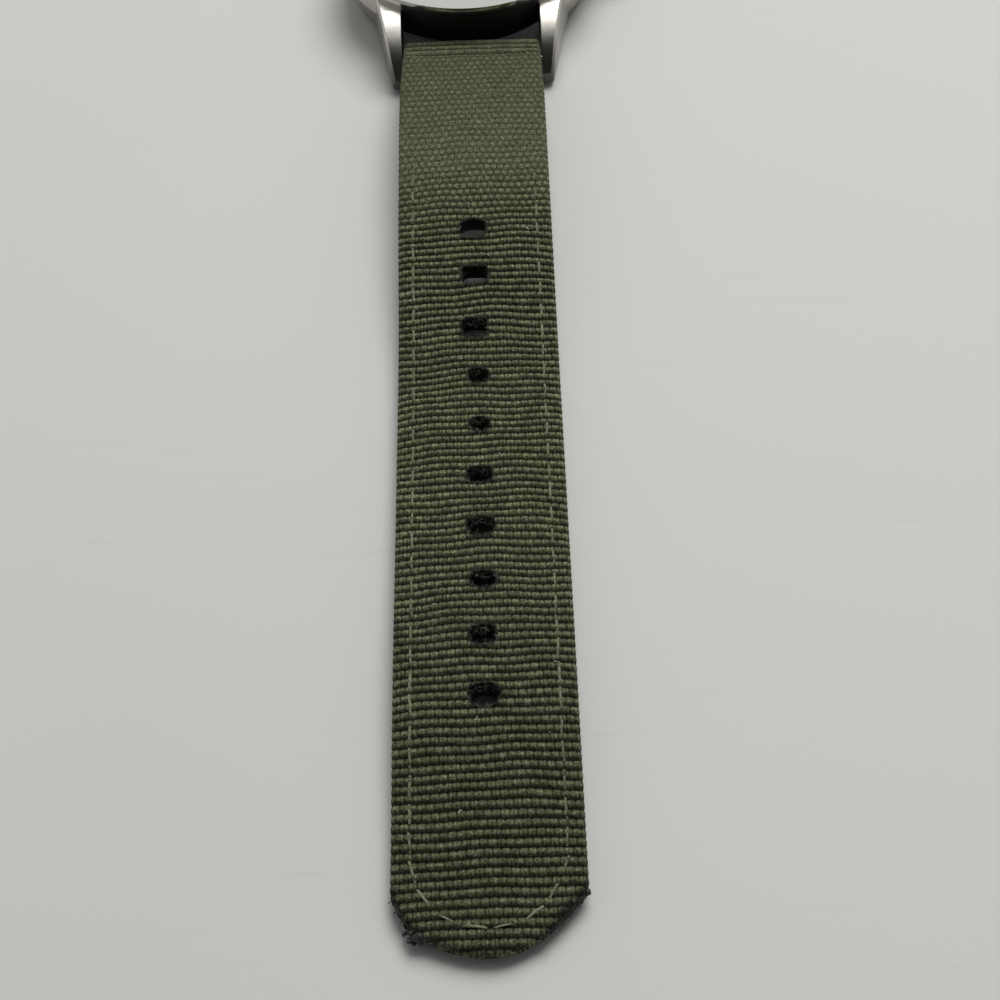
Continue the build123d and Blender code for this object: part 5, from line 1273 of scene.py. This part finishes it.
def tableTop():
    shell = bmesh.new()
    bmesh.ops.create_grid(shell, x_segments=4, y_segments=4, size=stageLook["size"])
    made, tree, shader = newMaterial("paleTable")
    place = objectSpace(tree)
    cloud = noise(place, 9.0, 3.0)
    fine = noise(place, 2400.0, 2.0)
    dark, light = ((*[c * share for c in stageLook["color"]], 1) for share in (0.985, 1.02))
    base = mixColor(spread(cloud, 0.35, 0.65), dark, light)
    streak = noise(scaled(place, (40, 900, 1)), 1.0, 2.0)
    worn = times(spread(streak, 0.66, 0.72), 0.1)
    feed(shader["Base Color"], mixColor(worn, base, stageLook["worn"]))
    feed(shader["Roughness"], spread(cloud, 0.3, 0.7, 0.5, 0.62))
    shader["Specular IOR Level"].default_value = 0.2
    addBump(fine, 0.08, 0.00004, shader["Normal"])
    table = newPiece("tableTop", meshFrom(shell, "tableTop"), made)
    table.location.z = -0.00002


def softLight():
    world = bpy.data.worlds.new("room")
    world.use_nodes = True
    scene.world = world
    tree = world.node_tree
    background = tree.nodes["Background"].inputs
    path = addNode(tree, "ShaderNodeLightPath").outputs
    sharp = calc("MAXIMUM", path["Is Glossy Ray"], path["Is Transmission Ray"])
    seen = calc("MAXIMUM", path["Is Camera Ray"], sharp)
    feed(background["Color"], mixColor(seen, stageLook["air"], stageLook["mirrored"]))
    strength = spread(seen, 0.0, 1.0, stageLook["world"], stageLook["mirroredStrength"])
    feed(background["Strength"], strength)
    lamp = bpy.data.lights.new("softPanel", "AREA")
    lamp.shape, lamp.size = "DISK", stageLook["lampSize"]
    lamp.energy, lamp.color = stageLook["lampPower"], stageLook["lampColor"]
    holder = newPiece("softPanel", lamp)
    holder.location = stageLook["lampAt"]
    holder.rotation_mode = "QUATERNION"
    holder.rotation_quaternion = (Vector(stageLook["lampAim"]) - holder.location).to_track_quat("-Z", "Y")


def photoCamera():
    yaw, pitch, roll = (math.radians(cameraLook[key]) for key in ("yaw", "pitch", "roll"))
    forward = Vector((math.sin(yaw) * math.cos(pitch), math.cos(yaw) * math.cos(pitch), -math.sin(pitch)))
    flatRight = Vector((math.cos(yaw), -math.sin(yaw), 0))
    flatUp = flatRight.cross(forward)
    right = flatRight * math.cos(roll) + flatUp * math.sin(roll)
    up = flatUp * math.cos(roll) - flatRight * math.sin(roll)
    camera = bpy.data.cameras.new("photoCamera")
    camera.sensor_width, camera.lens = cameraLook["sensor"], cameraLook["lens"]
    camera.clip_start, camera.clip_end = 0.01, 20
    turn = Matrix((right, up, -forward)).transposed().to_4x4()
    holder = newPiece("photoCamera", camera)
    holder.matrix_world = Matrix.Translation(Vector(cameraLook["place"]) * mm) @ turn
    scene.camera = holder


def darkFlag():
    # a dark cloth behind the camera, as in a small studio: steel that faces the front mirrors it
    shell = bmesh.new()
    bmesh.ops.create_grid(shell, x_segments=2, y_segments=2, size=0.5)
    place = Vector(stageLook["flagAt"])
    turn = (Vector(stageLook["flagAim"]) - place).to_track_quat("Z", "Y").to_matrix().to_4x4()
    shell.transform(Matrix.Translation(place) @ turn @ Matrix.Diagonal((*stageLook["flagSize"], 1, 1)))
    made, tree, shader = newMaterial("darkCloth")
    shade = noise(objectSpace(tree), 30.0)
    feed(shader["Base Color"], mixColor(shade, (0.012, 0.012, 0.012, 1), (0.02, 0.02, 0.02, 1)))
    shader["Roughness"].default_value = 0.9
    flag = newPiece("darkFlag", meshFrom(shell, "darkFlag"), made)
    flag.visible_camera = False


tableTop()
softLight()
darkFlag()
photoCamera()
scene.view_settings.view_transform = "Standard"
print("scene ready")
